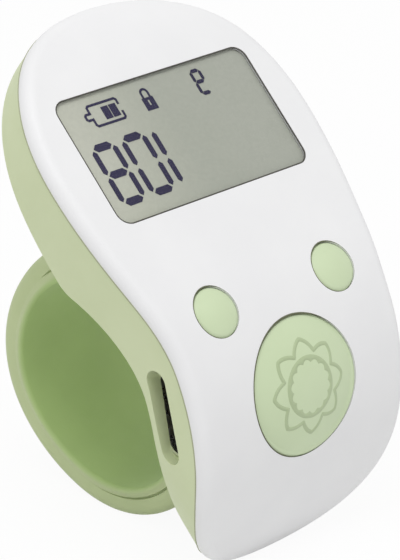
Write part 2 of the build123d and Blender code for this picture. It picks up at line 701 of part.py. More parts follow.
# Battery: a thin pouch cell on a foam pad, with two tabs up to the board
with BuildPart() as battery:
    with BuildSketch(FACE.offset(BATTERY_TOP - BATTERY_THICKNESS)):
        with Locations((0, BATTERY_AT)):
            RectangleRounded(BATTERY_LENGTH, BATTERY_WIDTH, BATTERY_ROUND)
    extrude(amount=BATTERY_THICKNESS)
    fillet(battery.faces().sort_by(Axis((0, 0, 0), FACE.z_dir))[0].edges(), BATTERY_ROUND)
finish(battery, "battery")

with BuildPart() as battery_pad:
    with BuildSketch(FACE.offset(BATTERY_TOP)):
        with Locations((0, BATTERY_AT)):
            Rectangle(BATTERY_LENGTH - 2 * PAD_INSET, BATTERY_WIDTH - 2 * PAD_INSET)
    extrude(amount=PAD_THICKNESS)
finish(battery_pad, "battery_pad")

with BuildPart() as battery_tabs:
    with BuildSketch(FACE.offset(BOARD_BOTTOM)):
        with pair(TAB_SPACING, BATTERY_HIGH_END + TAB_REACH / 2):
            Rectangle(TAB_WIDTH, TAB_REACH)
    extrude(amount=-TAB_THICKNESS)
    with BuildSketch(FACE.offset(BOARD_BOTTOM)):
        with pair(TAB_SPACING, BATTERY_HIGH_END + TAB_THICKNESS / 2):
            Rectangle(TAB_WIDTH, TAB_THICKNESS)
    extrude(amount=-(PAD_THICKNESS + TAB_DROP))
finish(battery_tabs, "battery_tabs")

# Chips: a round drop of resin over the controller, and the charging chip
with BuildPart() as controller_chip:
    with BuildSketch(across(FACE)):
        with BuildLine():
            ThreePointArc(
                (CHIP_AT - CHIP_R, BOARD_BOTTOM),
                (CHIP_AT, BOARD_BOTTOM - CHIP_HEIGHT),
                (CHIP_AT + CHIP_R, BOARD_BOTTOM),
            )
            Line((CHIP_AT - CHIP_R, BOARD_BOTTOM), (CHIP_AT + CHIP_R, BOARD_BOTTOM))
        make_face()
        with Locations((CHIP_AT - CHIP_R, BOARD_BOTTOM)):
            Rectangle(CHIP_R, CHIP_HEIGHT, align=(Align.MIN, Align.MAX), mode=Mode.INTERSECT)
    revolve(axis=Axis(FACE.from_local_coords((0, CHIP_AT, 0)), FACE.z_dir))
finish(controller_chip, "controller_chip")

with BuildPart() as charger_chip:
    with BuildSketch(KEY.offset(KEY_BOARD_BOTTOM)):
        with Locations((CHARGER_ACROSS, CHARGER_ALONG)):
            Rectangle(CHARGER_LENGTH, CHARGER_WIDTH)
    extrude(amount=-CHARGER_HEIGHT)
finish(charger_chip, "charger_chip")

# Charging port: a pressed metal shell round a tongue on an insulating block
with BuildPart() as port_shell:
    with BuildSketch(PORT.offset(-PORT_END)):
        SlotOverall(PORT_LENGTH, PORT_HEIGHT)
    extrude(amount=PORT_DEPTH)
    with BuildSketch(PORT.offset(-PORT_END)):
        SlotOverall(PORT_LENGTH - 2 * PORT_WALL, PORT_HEIGHT - 2 * PORT_WALL)
    extrude(amount=PORT_DEPTH, mode=Mode.SUBTRACT)
finish(port_shell, "port_shell")

with BuildPart() as port_tongue:
    with BuildSketch(PORT.offset(-PORT_END)):
        SlotOverall(PORT_LENGTH - 2 * PORT_WALL, PORT_HEIGHT - 2 * PORT_WALL)
    extrude(amount=PORT_BLOCK_DEPTH)
    with BuildSketch(PORT.offset(-PORT_END)):
        RectangleRounded(TONGUE_PLATE_LENGTH, TONGUE_PLATE_THICKNESS, TONGUE_PLATE_THICKNESS / 3)
    extrude(amount=PORT_DEPTH - TONGUE_PLATE_SETBACK)
finish(port_tongue, "port_tongue")


def button_cap(frame, place, radius, flange_r, flange_top, flange_thickness, wall, ceiling, stem_r, stem_end):
    """A turned cap: a wall with a flange to hold it in, and a stem to push with. Its top is left tall."""
    cap_r = radius - FIT_GAP
    flange_low = flange_top - flange_thickness
    middle = frame.from_local_coords((*place, 0))
    with BuildPart() as cap:
        with BuildSketch(Plane(middle, x_dir=frame.x_dir, z_dir=-frame.y_dir)):
            with BuildLine():
                Polyline(
                    (0, stem_end),
                    (stem_r, stem_end),
                    (stem_r, ceiling),
                    (cap_r - wall, ceiling),
                    (cap_r - wall, flange_low),
                    (flange_r, flange_low),
                    (flange_r, flange_top),
                    (cap_r, flange_top),
                    (cap_r, FACE_R + OVERRUN),
                    (0, FACE_R + OVERRUN),
                    close=True,
                )
            make_face()
        revolve(axis=Axis(middle, frame.z_dir))
    return cap.part


# Count button: its top is a dome, a little sunk in the face at its rim
CROWN_AXIS = FACE_R + COUNT_PROUD - COUNT_CROWN_R
CROWN_RIM = COUNT_CROWN_R - COUNT_DOME

with BuildPart() as crown:
    with BuildSketch(Plane(KEY.from_local_coords((0, 0, CROWN_AXIS)), x_dir=(1, 0, 0), z_dir=-KEY.y_dir)):
        with BuildLine():
            ThreePointArc((-COUNT_R, CROWN_RIM), (0, COUNT_CROWN_R), (COUNT_R, CROWN_RIM))
            Polyline(
                (COUNT_R, CROWN_RIM),
                (COUNT_FLANGE_R, CROWN_RIM),
                (COUNT_FLANGE_R, 0),
                (-COUNT_FLANGE_R, 0),
                (-COUNT_FLANGE_R, CROWN_RIM),
                (-COUNT_R, CROWN_RIM),
            )
        make_face()
    revolve(axis=Axis(KEY.from_local_coords((0, 0, CROWN_AXIS)), (1, 0, 0)))

with BuildPart() as count_button:
    add(
        button_cap(
            KEY,
            (0, 0),
            COUNT_R,
            COUNT_FLANGE_R,
            COUNT_FLANGE_LEVEL,
            COUNT_FLANGE_THICKNESS,
            CAP_WALL,
            FACE_R - COUNT_TOP_THICKNESS,
            COUNT_STEM_R,
            COUNT_PLUNGER_TOP,
        )
    )
    add(crown.part, mode=Mode.INTERSECT)
    fillet(count_button.faces().sort_by(Axis((0, 0, 0), KEY.z_dir))[-1].outer_wire().edges(), CAP_ROUND)
finish(count_button, "count_button")


SMALL_SLANT = degrees(asin(-SMALL_AT / FACE_R))


def small_button(across_at):
    """A small cap with a round top, square to the face at its middle."""
    crown_at = tilted(SMALL_SLANT).from_local_coords((across_at, 0, FACE_R + SMALL_PROUD - SMALL_CROWN_R))
    with BuildPart() as cap:
        add(
            button_cap(
                FACE,
                (across_at, SMALL_AT),
                SMALL_R,
                SMALL_FLANGE_R,
                SMALL_FLANGE_LEVEL,
                SMALL_FLANGE_THICKNESS,
                SMALL_CAP_WALL,
                FACE_R - SMALL_TOP_THICKNESS,
                SMALL_STEM_R,
                SMALL_PLUNGER_TOP,
            )
        )
        with Locations(crown_at):
            Sphere(SMALL_CROWN_R, mode=Mode.INTERSECT)
        fillet(cap.faces().filter_by(GeomType.SPHERE).edges(), CAP_ROUND)
    return cap


finish(small_button(-SMALL_ACROSS), "left_button")
finish(small_button(SMALL_ACROSS), "right_button")


def switch_body(frame, place, level, size, height, plunger_r):
    """A low push switch on a board, open at the top for its plunger."""
    with BuildPart() as body:
        with BuildSketch(frame.offset(level)):
            with Locations(place):
                RectangleRounded(size, size, SWITCH_CORNER)
        extrude(amount=height)
        with BuildSketch(frame.offset(level + SWITCH_FLOOR)):
            with Locations(place):
                Circle(plunger_r + PLUNGER_GAP)
        extrude(amount=height, mode=Mode.SUBTRACT)
    return body


def plunger(frame, place, low, high, radius):
    """A switch plunger, which goes down with the button above it."""
    with BuildPart() as pin:
        with BuildSketch(frame.offset(low)):
            with Locations(place):
                Circle(radius)
        extrude(amount=high - low)
    return pin


# Switches
COUNT_PLUNGER_LOW = KEY_BOARD_TOP + SWITCH_FLOOR + COUNT_TRAVEL + SEAT_GAP
SMALL_PLUNGER_LOW = BOARD_TOP + SWITCH_FLOOR + SMALL_TRAVEL + SEAT_GAP

body = switch_body(KEY, (0, 0), KEY_BOARD_TOP, COUNT_SWITCH_SIZE, COUNT_SWITCH_HEIGHT, COUNT_PLUNGER_R)
finish(body, "count_switch")
finish(plunger(KEY, (0, 0), COUNT_PLUNGER_LOW, COUNT_PLUNGER_TOP, COUNT_PLUNGER_R), "count_plunger")
for side, name in ((-1, "left"), (1, "right")):
    place = (side * SMALL_ACROSS, SMALL_AT)
    body = switch_body(FACE, place, BOARD_TOP, SMALL_SWITCH_SIZE, SMALL_SWITCH_HEIGHT, SMALL_PLUNGER_R)
    finish(body, f"{name}_switch")
    pin = plunger(FACE, place, SMALL_PLUNGER_LOW, SMALL_PLUNGER_TOP, SMALL_PLUNGER_R)
    finish(pin, f"{name}_plunger")


def screw_pair(frame, spacing, along, seat, reach, radius, head_r, head_height):
    """Two cross-headed screws side by side, put in from the back, with their heads below a seat."""
    with BuildPart() as screws:
        with BuildSketch(frame.offset(seat)):
            with pair(spacing, along):
                Circle(head_r)
        extrude(amount=-head_height)
        with BuildSketch(frame.offset(seat)):
            with pair(spacing, along):
                Circle(radius)
        extrude(amount=reach)
        with BuildSketch(frame.offset(seat - head_height)):
            with pair(spacing, along):
                Rectangle(head_r * DRIVE_LENGTH_SHARE, head_r * DRIVE_WIDTH_SHARE)
                Rectangle(head_r * DRIVE_WIDTH_SHARE, head_r * DRIVE_LENGTH_SHARE)
        extrude(amount=head_height * DRIVE_DEPTH_SHARE, mode=Mode.SUBTRACT)
    return screws.part


# Screws
with BuildPart() as case_screws:
    add(
        screw_pair(
            FACE,
            UPPER_SCREW_SPACING,
            UPPER_SCREW_AT,
            UPPER_SEAT,
            UPPER_SCREW_REACH,
            SCREW_R,
            SCREW_HEAD_R,
            SCREW_HEAD_HEIGHT,
        )
    )
    add(
        screw_pair(
            KEY,
            LOWER_SCREW_SPACING,
            LOWER_SCREW_AT,
            LOWER_SEAT,
            LOWER_SCREW_REACH,
            SCREW_R,
            SCREW_HEAD_R,
            SCREW_HEAD_HEIGHT,
        )
    )
finish(case_screws, "case_screws")

with BuildPart() as board_screws:
    add(
        screw_pair(
            FACE,
            BOARD_SCREW_SPACING,
            BOARD_SCREW_AT,
            BOARD_BOTTOM,
            BOARD_SCREW_REACH,
            BOARD_SCREW_R,
            BOARD_SCREW_HEAD_R,
            BOARD_SCREW_HEAD_HEIGHT,
        )
    )
finish(board_screws, "board_screws")


def ring_sector(inner, outer, start, end):
    """A part of a flat ring about the finger axis, between two angles."""
    with BuildSketch(SIDE) as sector:
        with BuildLine():
            ThreePointArc(polar(inner, start), polar(inner, (start + end) / 2), polar(inner, end))
            Line(polar(inner, end), polar(outer, end))
            ThreePointArc(polar(outer, end), polar(outer, (start + end) / 2), polar(outer, start))
            Line(polar(outer, start), polar(inner, start))
        make_face()
    return sector.sketch


# Finger ring: one soft moulding, a closed band with a long slit that lets its inner skin give
pad_view = ring_sector((SLIT_R + RING_R) / 2, SADDLE_R - SEAT_GAP, -PAD_ANGLE, PAD_ANGLE)
slit_view = ring_sector(SLIT_R - SLIT_WIDTH / 2, SLIT_R + SLIT_WIDTH / 2, SLIT_TOP_ANGLE, SLIT_LOW_ANGLE)

with BuildPart() as finger_ring:
    with BuildSketch(SIDE):
        Circle(RING_R)
        Circle(RING_BORE_R, mode=Mode.SUBTRACT)
    extrude(amount=RING_WIDTH / 2, both=True)
    rims = finger_ring.edges().filter_by(GeomType.CIRCLE)
    fillet(rims.filter_by(lambda edge: abs(edge.radius - RING_R) < TINY), RING_ROUND)
    fillet(rims.filter_by(lambda edge: abs(edge.radius - RING_BORE_R) < TINY), BORE_ROUND)
    extrude(pad_view, amount=RING_WIDTH / 2 - RING_ROUND, dir=SIDE.z_dir, both=True)
    extrude(slit_view, amount=RING_WIDTH, dir=SIDE.z_dir, both=True, mode=Mode.SUBTRACT)
    with BuildSketch(FACE.offset((SLIT_R + RING_R) / 2)):
        with pair(STUD_SPACING, 0):
            Circle(STUD_R)
    extrude(amount=SADDLE_R + BACK_WALL + SEAT_GAP - (SLIT_R + RING_R) / 2)
    with BuildSketch(FACE.offset(SADDLE_R + BACK_WALL + SEAT_GAP)):
        with pair(STUD_SPACING, 0):
            Circle(STUD_HEAD_R)
    extrude(amount=STUD_HEAD_HEIGHT)
finish(finger_ring, "finger_ring")
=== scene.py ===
"""Looks of the finger-worn tally counter: finishes for every node, the soft ring and its painted
shade, the marks on the display with painted light at its left, the tops and rim of the buttons,
painted shadow in the buttons' gaps and round the lens, the flower, the seam's painted shade, the
port's contacts, soft studio light and the photograph's camera."""

from math import cos, hypot, pi, radians, sin, sqrt

import bmesh
import bpy
from mathutils import Matrix, Vector


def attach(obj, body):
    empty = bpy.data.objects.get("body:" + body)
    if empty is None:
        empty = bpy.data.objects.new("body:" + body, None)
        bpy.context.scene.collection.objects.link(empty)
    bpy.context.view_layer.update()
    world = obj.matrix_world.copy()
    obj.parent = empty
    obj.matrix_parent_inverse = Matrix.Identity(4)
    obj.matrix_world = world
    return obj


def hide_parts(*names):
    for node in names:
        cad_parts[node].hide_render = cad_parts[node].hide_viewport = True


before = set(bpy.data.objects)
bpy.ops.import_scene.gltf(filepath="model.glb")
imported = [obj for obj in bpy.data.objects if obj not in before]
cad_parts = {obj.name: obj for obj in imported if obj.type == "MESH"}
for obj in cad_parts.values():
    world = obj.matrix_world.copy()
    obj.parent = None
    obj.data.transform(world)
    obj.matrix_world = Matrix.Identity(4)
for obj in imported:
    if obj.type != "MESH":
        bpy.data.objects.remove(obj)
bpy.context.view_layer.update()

# Units, in metres
MM = 0.001
MICRON = 0.000001

# Sizes repeated from the part, in millimetres and degrees
LEAN_DEGREES = 47.05177545812659
LEAN = radians(LEAN_DEGREES)
KEY_TILT = radians(33.7)
RING_BORE_R = 11.3
RING_R = 14.4
RING_HALF = 6.0
RING_ROUND = 1.0
BORE_ROUND = 0.5
PAD_R = 15.05
PAD_HALF = 5.0
PAD_ANGLE = 30.0
SLIT_R = 12.45
SLIT_TOP = -92.0
SLIT_LOW = 150.0
STUD_ACROSS = 3.2
STUD_R = 1.4
STUD_HEAD_R = 2.1
STUD_FOOT = 13.4
STUD_NECK = 16.15
STUD_TOP = 16.95
FILM_TOP = 22.05
LENS_TOP = 22.35
WINDOW_WIDTH = 25.8
WINDOW_HEIGHT = 14.0
WINDOW_ROUND = 1.5
WINDOW_AT = 14.7
SMALL_R = 2.62
SMALL_ACROSS = 8.1
SMALL_AT = -3.15
COUNT_R = 7.0
COUNT_DOME = 1.1
COUNT_CROWN_R = 12.5
COUNT_TOP = 23.2
FACE_R = 22.4
CROWN_START = 22.3
CROWN_R = 24.0
SEAM_LEVEL = 21.0
PORT_LEVEL = 17.15
PORT_ALONG = 0.6
PORT_MOUTH = -12.586
PORT_TONGUE_SETBACK = 0.8
TONGUE_HALF = 0.35
FLOOR_LEVEL = -14.4


def face_point(x, y, z):
    """A point given in the face frame: x right, y up the display, z out of it."""
    return Vector((x, y * sin(LEAN) - z * cos(LEAN), y * cos(LEAN) + z * sin(LEAN))) * MM


def key_point(x, y, z):
    """A point given in the count button's frame."""
    along = y * cos(KEY_TILT) - z * sin(KEY_TILT)
    return face_point(x, along, y * sin(KEY_TILT) + z * cos(KEY_TILT))


def face_level(y):
    """The level of the face in its own frame: flat under the display, round below it."""
    return sqrt(FACE_R**2 - min(y, 0) ** 2)


def key_level(y):
    """The level of the round face in the count button's frame."""
    return sqrt(FACE_R**2 - y * y)


def smooth(low, high, value):
    """0 below low, 1 above high, and a soft rise between them."""
    share = min(1, max(0, (value - low) / (high - low)))
    return share * share * (3 - 2 * share)


def turns(count):
    """Even turns round a circle, in radians."""
    return [2 * pi * step / count for step in range(count)]


# Colours: the lighter and the darker tone of each finish
BLACK = ((0.022, 0.022, 0.024), (0.012, 0.012, 0.014))
WHITE = (1.0, 1.0, 1.0)
TONES = {
    "cover_white": ((0.865, 0.865, 0.87), (0.845, 0.845, 0.852)),
    "shell_green": ((0.66, 0.73, 0.462), (0.635, 0.705, 0.438)),
    "button_green": ((0.615, 0.722, 0.475), (0.59, 0.697, 0.45)),
    "flower_green": ((0.45, 0.54, 0.33), (0.42, 0.51, 0.3)),
    # painted shadow: the dark beads in the buttons' gaps
    "gap_shade_olive": ((0.12, 0.13, 0.07), (0.09, 0.1, 0.05)),
    # painted shade: the dark parting line between the covers
    "seam_shade_olive": ((0.4, 0.425, 0.275), (0.36, 0.385, 0.24)),
    "display_ink": ((0.022, 0.018, 0.06), (0.016, 0.013, 0.046)),
    # painted shade: the dark line in the gap round the display lens
    "window_gap_shade": ((0.06, 0.058, 0.045), (0.045, 0.043, 0.034)),
    "frame_white": ((0.8, 0.8, 0.78), (0.75, 0.75, 0.73)),
    "strip_grey": ((0.34, 0.33, 0.36), (0.2, 0.2, 0.22)),
    "link_amber": ((0.62, 0.32, 0.06), (0.48, 0.22, 0.03)),
    "foam_white": ((0.86, 0.86, 0.83), (0.72, 0.72, 0.69)),
    "plunger_ivory": ((0.76, 0.75, 0.68), (0.7, 0.69, 0.62)),
    "resin_black": BLACK,
    "chip_black": BLACK,
    "port_black": BLACK,
    "switch_black": BLACK,
    "reflector_film": ((0.66, 0.68, 0.62), (0.58, 0.6, 0.55)),
    "pouch_foil": ((0.7, 0.71, 0.73), (0.56, 0.57, 0.6)),
    "tab_nickel": ((0.74, 0.73, 0.7), (0.62, 0.61, 0.58)),
    "port_steel": ((0.92, 0.92, 0.9), (0.82, 0.82, 0.8)),
    "screw_steel": ((0.66, 0.66, 0.67), (0.5, 0.5, 0.52)),
    "contact_gold": ((0.83, 0.62, 0.27), (0.7, 0.5, 0.2)),
}
LENS_TINT = (0.93, 0.95, 0.93)
FRONT_GLASS_TINT = (0.8, 0.86, 0.82)
REAR_GLASS_TINT = (0.78, 0.85, 0.8)
BOARD_GAPS = (0.03, 0.16, 0.07)
BOARD_TRACKS = (0.08, 0.32, 0.15)
# painted light: the display's face is paler at its left
DISPLAY_LIT_LEFT = (0.53, 0.54, 0.462)
DISPLAY_MIDDLE = (0.41, 0.424, 0.375)
DISPLAY_DRIFT = (0.95, 0.96, 0.93)
DISPLAY_MOTTLE = (0.95, 0.95, 0.95)
# painted shade: the ring's inside is given a darker green than its outside
RING_SHADED_INSIDE = (0.455, 0.6, 0.248)
RING_OUTSIDE = (0.545, 0.628, 0.345)
RING_CLOUD = (0.94, 0.95, 0.93)

# Materials: scales are in waves per metre
NOISE_SPAN = (0.3, 0.7)
FINE_DETAIL = 4.0
SOFT_DETAIL = 2.0
CLOUD_SCALE = 140
GLOSS_SCALE = 900
GLOSS_SPREAD = 0.05
METAL_LINES_SCALE = 1500
METAL_GLOSS_SCALE = 2500
METAL_GLOSS_SPREAD = 0.08
TRACK_SCALE = 420
TRACK_GAP = 0.03
TRACK_SPAN = (0.2, 0.8)
TRACK_DEPTH = 30 * MICRON
BOARD_GLOSS_SCALE = 1200
BOARD_ROUGH = (0.28, 0.4)
BOARD_COAT = 0.3
FLOW_SCALE = 300
FLOW_STRETCH = (0.3, 1.0, 1.0)
FLOW_SHADE = 0.96
FLOW_DEPTH = 2 * MICRON
CLEAR_GLOSS_SCALE = 700
CLEAR_GLOSS_SPREAD = 0.02
DRIFT_SCALE = 55
MOTTLE_SCALE = 2600
DISPLAY_GLOSS_SCALE = 1800
DISPLAY_ROUGH = (0.42, 0.52)
DISPLAY_GRAIN = 5200
DISPLAY_DEPTH = 4 * MICRON
DISPLAY_SPECULAR = 0.1
INSIDE_SHADE_START = 0.1
INSIDE_SHADE_END = 0.6
RING_CLOUD_SCALE = 160
RING_ROUGH = (0.57, 0.67)
RING_GRAIN = 3600
RING_GRAIN_DEPTH = 14 * MICRON
RING_SHEEN = 0.15


class Finish:
    """A material under construction: its shader, and textures in the object's own coordinates."""

    def __init__(self, name):
        self.material = bpy.data.materials.new(name)
        self.material.use_nodes = True
        self.nodes = self.material.node_tree.nodes
        self.links = self.material.node_tree.links
        self.shader = self.nodes["Principled BSDF"]
        self.coords = self.nodes.new("ShaderNodeTexCoord").outputs["Object"]

    def stretched(self, scale):
        """The coordinates, drawn out differently along each axis."""
        mapping = self.nodes.new("ShaderNodeMapping")
        mapping.inputs["Scale"].default_value = scale
        self.links.new(self.coords, mapping.inputs["Vector"])
        return mapping.outputs["Vector"]

    def noise(self, scale, detail=3.0, coords=None):
        """Cloudy noise from 0 to 1."""
        node = self.nodes.new("ShaderNodeTexNoise")
        node.inputs["Scale"].default_value = scale
        node.inputs["Detail"].default_value = detail
        self.links.new(coords or self.coords, node.inputs["Vector"])
        return node.outputs["Fac"]

    def blend(self, factor, first, second, low=0.35, high=0.65):
        """A colour that goes from the first to the second."""
        ramp = self.nodes.new("ShaderNodeValToRGB")
        ramp.color_ramp.elements[0].position = low
        ramp.color_ramp.elements[0].color = (*first, 1)
        ramp.color_ramp.elements[1].position = high
        ramp.color_ramp.elements[1].color = (*second, 1)
        self.links.new(factor, ramp.inputs["Fac"])
        return ramp.outputs["Color"]

    def mapped(self, value, start, end, low=0.0, high=1.0):
        """A value brought from one range into another."""
        node = self.nodes.new("ShaderNodeMapRange")
        node.inputs["From Min"].default_value = start
        node.inputs["From Max"].default_value = end
        node.inputs["To Min"].default_value = low
        node.inputs["To Max"].default_value = high
        self.links.new(value, node.inputs["Value"])
        return node.outputs["Result"]

    def uneven(self, scale, low, high):
        """Noise brought into a range, for an uneven gloss."""
        return self.mapped(self.noise(scale), *NOISE_SPAN, low, high)

    def multiplied(self, first, second):
        """The product of two colours."""
        mix = self.nodes.new("ShaderNodeMix")
        mix.data_type = "RGBA"
        mix.blend_type = "MULTIPLY"
        mix.inputs["Factor"].default_value = 1.0
        self.links.new(first, mix.inputs["A"])
        self.links.new(second, mix.inputs["B"])
        return mix.outputs["Result"]

    def bump(self, height, distance):
        """A surface relief of a depth in metres."""
        node = self.nodes.new("ShaderNodeBump")
        node.inputs["Strength"].default_value = 1.0
        node.inputs["Distance"].default_value = distance
        self.links.new(height, node.inputs["Height"])
        return node.outputs["Normal"]

    def put(self, **sockets):
        """Sets or links the shader's sockets; underscores stand for spaces."""
        for name, value in sockets.items():
            socket = self.shader.inputs[name.replace("_", " ")]
            if isinstance(value, bpy.types.NodeSocket):
                self.links.new(value, socket)
            else:
                socket.default_value = value


def moulded(name, rough, grain, depth, **sockets):
    """Moulded plastic or rubber: a little cloudy, with a fine grain and uneven gloss."""
    finish = Finish(name)
    light, dark = TONES[name]
    finish.put(
        Base_Color=finish.blend(finish.noise(CLOUD_SCALE), dark, light),
        Roughness=finish.uneven(GLOSS_SCALE, rough - GLOSS_SPREAD, rough + GLOSS_SPREAD),
        Normal=finish.bump(finish.noise(grain, FINE_DETAIL), depth),
        **sockets,
    )
    return finish.material


def metal(name, rough, streak, depth):
    """Worked metal with fine lines along one axis."""
    finish = Finish(name)
    light, dark = TONES[name]
    lines = finish.noise(METAL_LINES_SCALE, FINE_DETAIL, finish.stretched(streak))
    spread = METAL_GLOSS_SPREAD
    finish.put(
        Base_Color=finish.blend(lines, dark, light),
        Roughness=finish.uneven(METAL_GLOSS_SCALE, rough - spread, rough + spread),
        Normal=finish.bump(lines, depth),
        Metallic=1.0,
    )
    return finish.material


def board(name):
    """A circuit board: a green mask over raised copper tracks."""
    finish = Finish(name)
    tracks = finish.nodes.new("ShaderNodeTexBrick")
    tracks.inputs["Scale"].default_value = TRACK_SCALE
    tracks.inputs["Mortar Size"].default_value = TRACK_GAP
    finish.links.new(finish.coords, tracks.inputs["Vector"])
    finish.put(
        Base_Color=finish.blend(tracks.outputs["Fac"], BOARD_GAPS, BOARD_TRACKS, *TRACK_SPAN),
        Roughness=finish.uneven(BOARD_GLOSS_SCALE, *BOARD_ROUGH),
        Normal=finish.bump(tracks.outputs["Fac"], TRACK_DEPTH),
        Coat_Weight=BOARD_COAT,
    )
    return finish.material


def clear_film(name, tint, alpha, rough):
    """A clear sheet with a faint tint and slight flow lines."""
    finish = Finish(name)
    flow = finish.noise(FLOW_SCALE, SOFT_DETAIL, finish.stretched(FLOW_STRETCH))
    spread = CLEAR_GLOSS_SPREAD
    finish.put(
        Base_Color=finish.blend(flow, tuple(FLOW_SHADE * part for part in tint), tint),
        Roughness=finish.uneven(CLEAR_GLOSS_SCALE, rough - spread, rough + spread),
        Normal=finish.bump(flow, FLOW_DEPTH),
        Alpha=alpha,
    )
    return finish.material


def display_film(name):
    """The display's grey-green face: paler at its left with painted light, a fine mottle and a slow
    drift.
    """
    finish = Finish(name)
    axes = finish.nodes.new("ShaderNodeSeparateXYZ")
    finish.links.new(finish.coords, axes.inputs["Vector"])
    # painted light: the face pales towards its left edge
    across = finish.mapped(axes.outputs["X"], -WINDOW_WIDTH / 2 * MM, 0)
    tone = finish.blend(across, DISPLAY_LIT_LEFT, DISPLAY_MIDDLE, 0, 1)
    drift = finish.blend(finish.noise(DRIFT_SCALE, SOFT_DETAIL), DISPLAY_DRIFT, WHITE)
    mottle = finish.blend(finish.noise(MOTTLE_SCALE), DISPLAY_MOTTLE, WHITE)
    finish.put(
        Base_Color=finish.multiplied(finish.multiplied(tone, drift), mottle),
        Roughness=finish.uneven(DISPLAY_GLOSS_SCALE, *DISPLAY_ROUGH),
        Normal=finish.bump(finish.noise(DISPLAY_GRAIN), DISPLAY_DEPTH),
        Specular_IOR_Level=DISPLAY_SPECULAR,
    )
    return finish.material


def soft_rubber_with_shade(name):
    """The ring's soft rubber, with painted shade: a darker, fuller green near the bore, a paler
    green outside.
    """
    finish = Finish(name)
    radius = finish.nodes.new("ShaderNodeVectorMath")
    radius.operation = "LENGTH"
    finish.links.new(finish.stretched((0, 1, 1)), radius.inputs[0])
    start, end = (RING_BORE_R + INSIDE_SHADE_START) * MM, (RING_BORE_R + INSIDE_SHADE_END) * MM
    depth = finish.mapped(radius.outputs["Value"], start, end)
    # painted shade: darker green near the bore, paler green further out
    inside_shade = finish.blend(depth, RING_SHADED_INSIDE, RING_OUTSIDE, 0, 1)
    cloud = finish.blend(finish.noise(RING_CLOUD_SCALE), RING_CLOUD, WHITE)
    finish.put(
        Base_Color=finish.multiplied(inside_shade, cloud),
        Roughness=finish.uneven(GLOSS_SCALE, *RING_ROUGH),
        Normal=finish.bump(finish.noise(RING_GRAIN, FINE_DETAIL), RING_GRAIN_DEPTH),
        Sheen_Weight=RING_SHEEN,
    )
    return finish.material


finishes = {
    "front_cover": moulded(
        "cover_white", rough=0.5, grain=5200, depth=6 * MICRON, Specular_IOR_Level=0.3
    ),
    "back_cover": moulded("shell_green", rough=0.48, grain=5200, depth=8 * MICRON),
    "display_lens": clear_film("lens_clear", LENS_TINT, alpha=0.025, rough=0.1),
    "lcd_polarizer": display_film("film_grey_green"),
    "lcd_front_glass": clear_film("glass_front", FRONT_GLASS_TINT, alpha=0.35, rough=0.06),
    "lcd_rear_glass": clear_film("glass_rear", REAR_GLASS_TINT, alpha=0.35, rough=0.06),
    "lcd_reflector": metal("reflector_film", rough=0.4, streak=(1, 8, 8), depth=2 * MICRON),
    "lcd_frame": moulded("frame_white", rough=0.5, grain=4200, depth=10 * MICRON),
    "contact_strips": moulded("strip_grey", rough=0.65, grain=9000, depth=20 * MICRON),
    "display_board": board("board_display"),
    "key_board": board("board_keys"),
    "board_link": moulded("link_amber", rough=0.3, grain=3200, depth=6 * MICRON),
    "battery": metal("pouch_foil", rough=0.34, streak=(3, 3, 3), depth=20 * MICRON),
    "battery_pad": moulded("foam_white", rough=0.85, grain=3800, depth=80 * MICRON),
    "battery_tabs": metal("tab_nickel", rough=0.28, streak=(1, 9, 9), depth=4 * MICRON),
    "controller_chip": moulded(
        "resin_black", rough=0.18, grain=1400, depth=20 * MICRON, Coat_Weight=0.4
    ),
    "charger_chip": moulded("chip_black", rough=0.55, grain=6000, depth=10 * MICRON),
    "port_shell": metal("port_steel", rough=0.3, streak=(9, 1, 1), depth=4 * MICRON),
    "port_tongue": moulded("port_black", rough=0.5, grain=5200, depth=10 * MICRON),
    "count_button": moulded("button_green", rough=0.42, grain=5200, depth=6 * MICRON),
    "count_switch": moulded("switch_black", rough=0.48, grain=5200, depth=10 * MICRON),
    "count_plunger": moulded("plunger_ivory", rough=0.5, grain=4800, depth=10 * MICRON),
    "case_screws": metal("screw_steel", rough=0.3, streak=(4, 4, 4), depth=8 * MICRON),
    "finger_ring": soft_rubber_with_shade("ring_soft_green"),
}
for side in ("left", "right"):
    for kind in ("button", "switch", "plunger"):
        finishes[f"{side}_{kind}"] = finishes[f"count_{kind}"]
finishes["board_screws"] = finishes["case_screws"]

for node, finish in finishes.items():
    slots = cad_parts[node].data.materials
    slots.clear()
    slots.append(finish)

ink = moulded("display_ink", rough=0.55, grain=4200, depth=2 * MICRON, Specular_IOR_Level=0.1)
# painted shade round the display lens
window_gap_shade = moulded("window_gap_shade", rough=0.6, grain=4200, depth=4 * MICRON)
flower_green = moulded("flower_green", rough=0.5, grain=5200, depth=6 * MICRON)
# painted shadow in the buttons' gaps
gap_shade_olive = moulded("gap_shade_olive", rough=0.75, grain=4200, depth=4 * MICRON)
# painted shade along the seam between the covers
seam_shade_olive = moulded("seam_shade_olive", rough=0.7, grain=4200, depth=4 * MICRON)
gold = metal("contact_gold", rough=0.25, streak=(1, 9, 9), depth=2 * MICRON)

# Mesh pieces
PIECE_WELD = 1e-8


def piece(name, mesh, material, body, crease=35):
    """Turns a bmesh into a shaded piece that moves with a body."""
    bmesh.ops.remove_doubles(mesh, verts=mesh.verts, dist=PIECE_WELD)
    bmesh.ops.recalc_face_normals(mesh, faces=mesh.faces)
    data = bpy.data.meshes.new(name)
    mesh.to_mesh(data)
    mesh.free()
    data.materials.append(material)
    data.shade_smooth()
    data.set_sharp_from_angle(angle=radians(crease))
    thing = bpy.data.objects.new(name, data)
    bpy.context.scene.collection.objects.link(thing)
    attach(thing, body)
    return thing


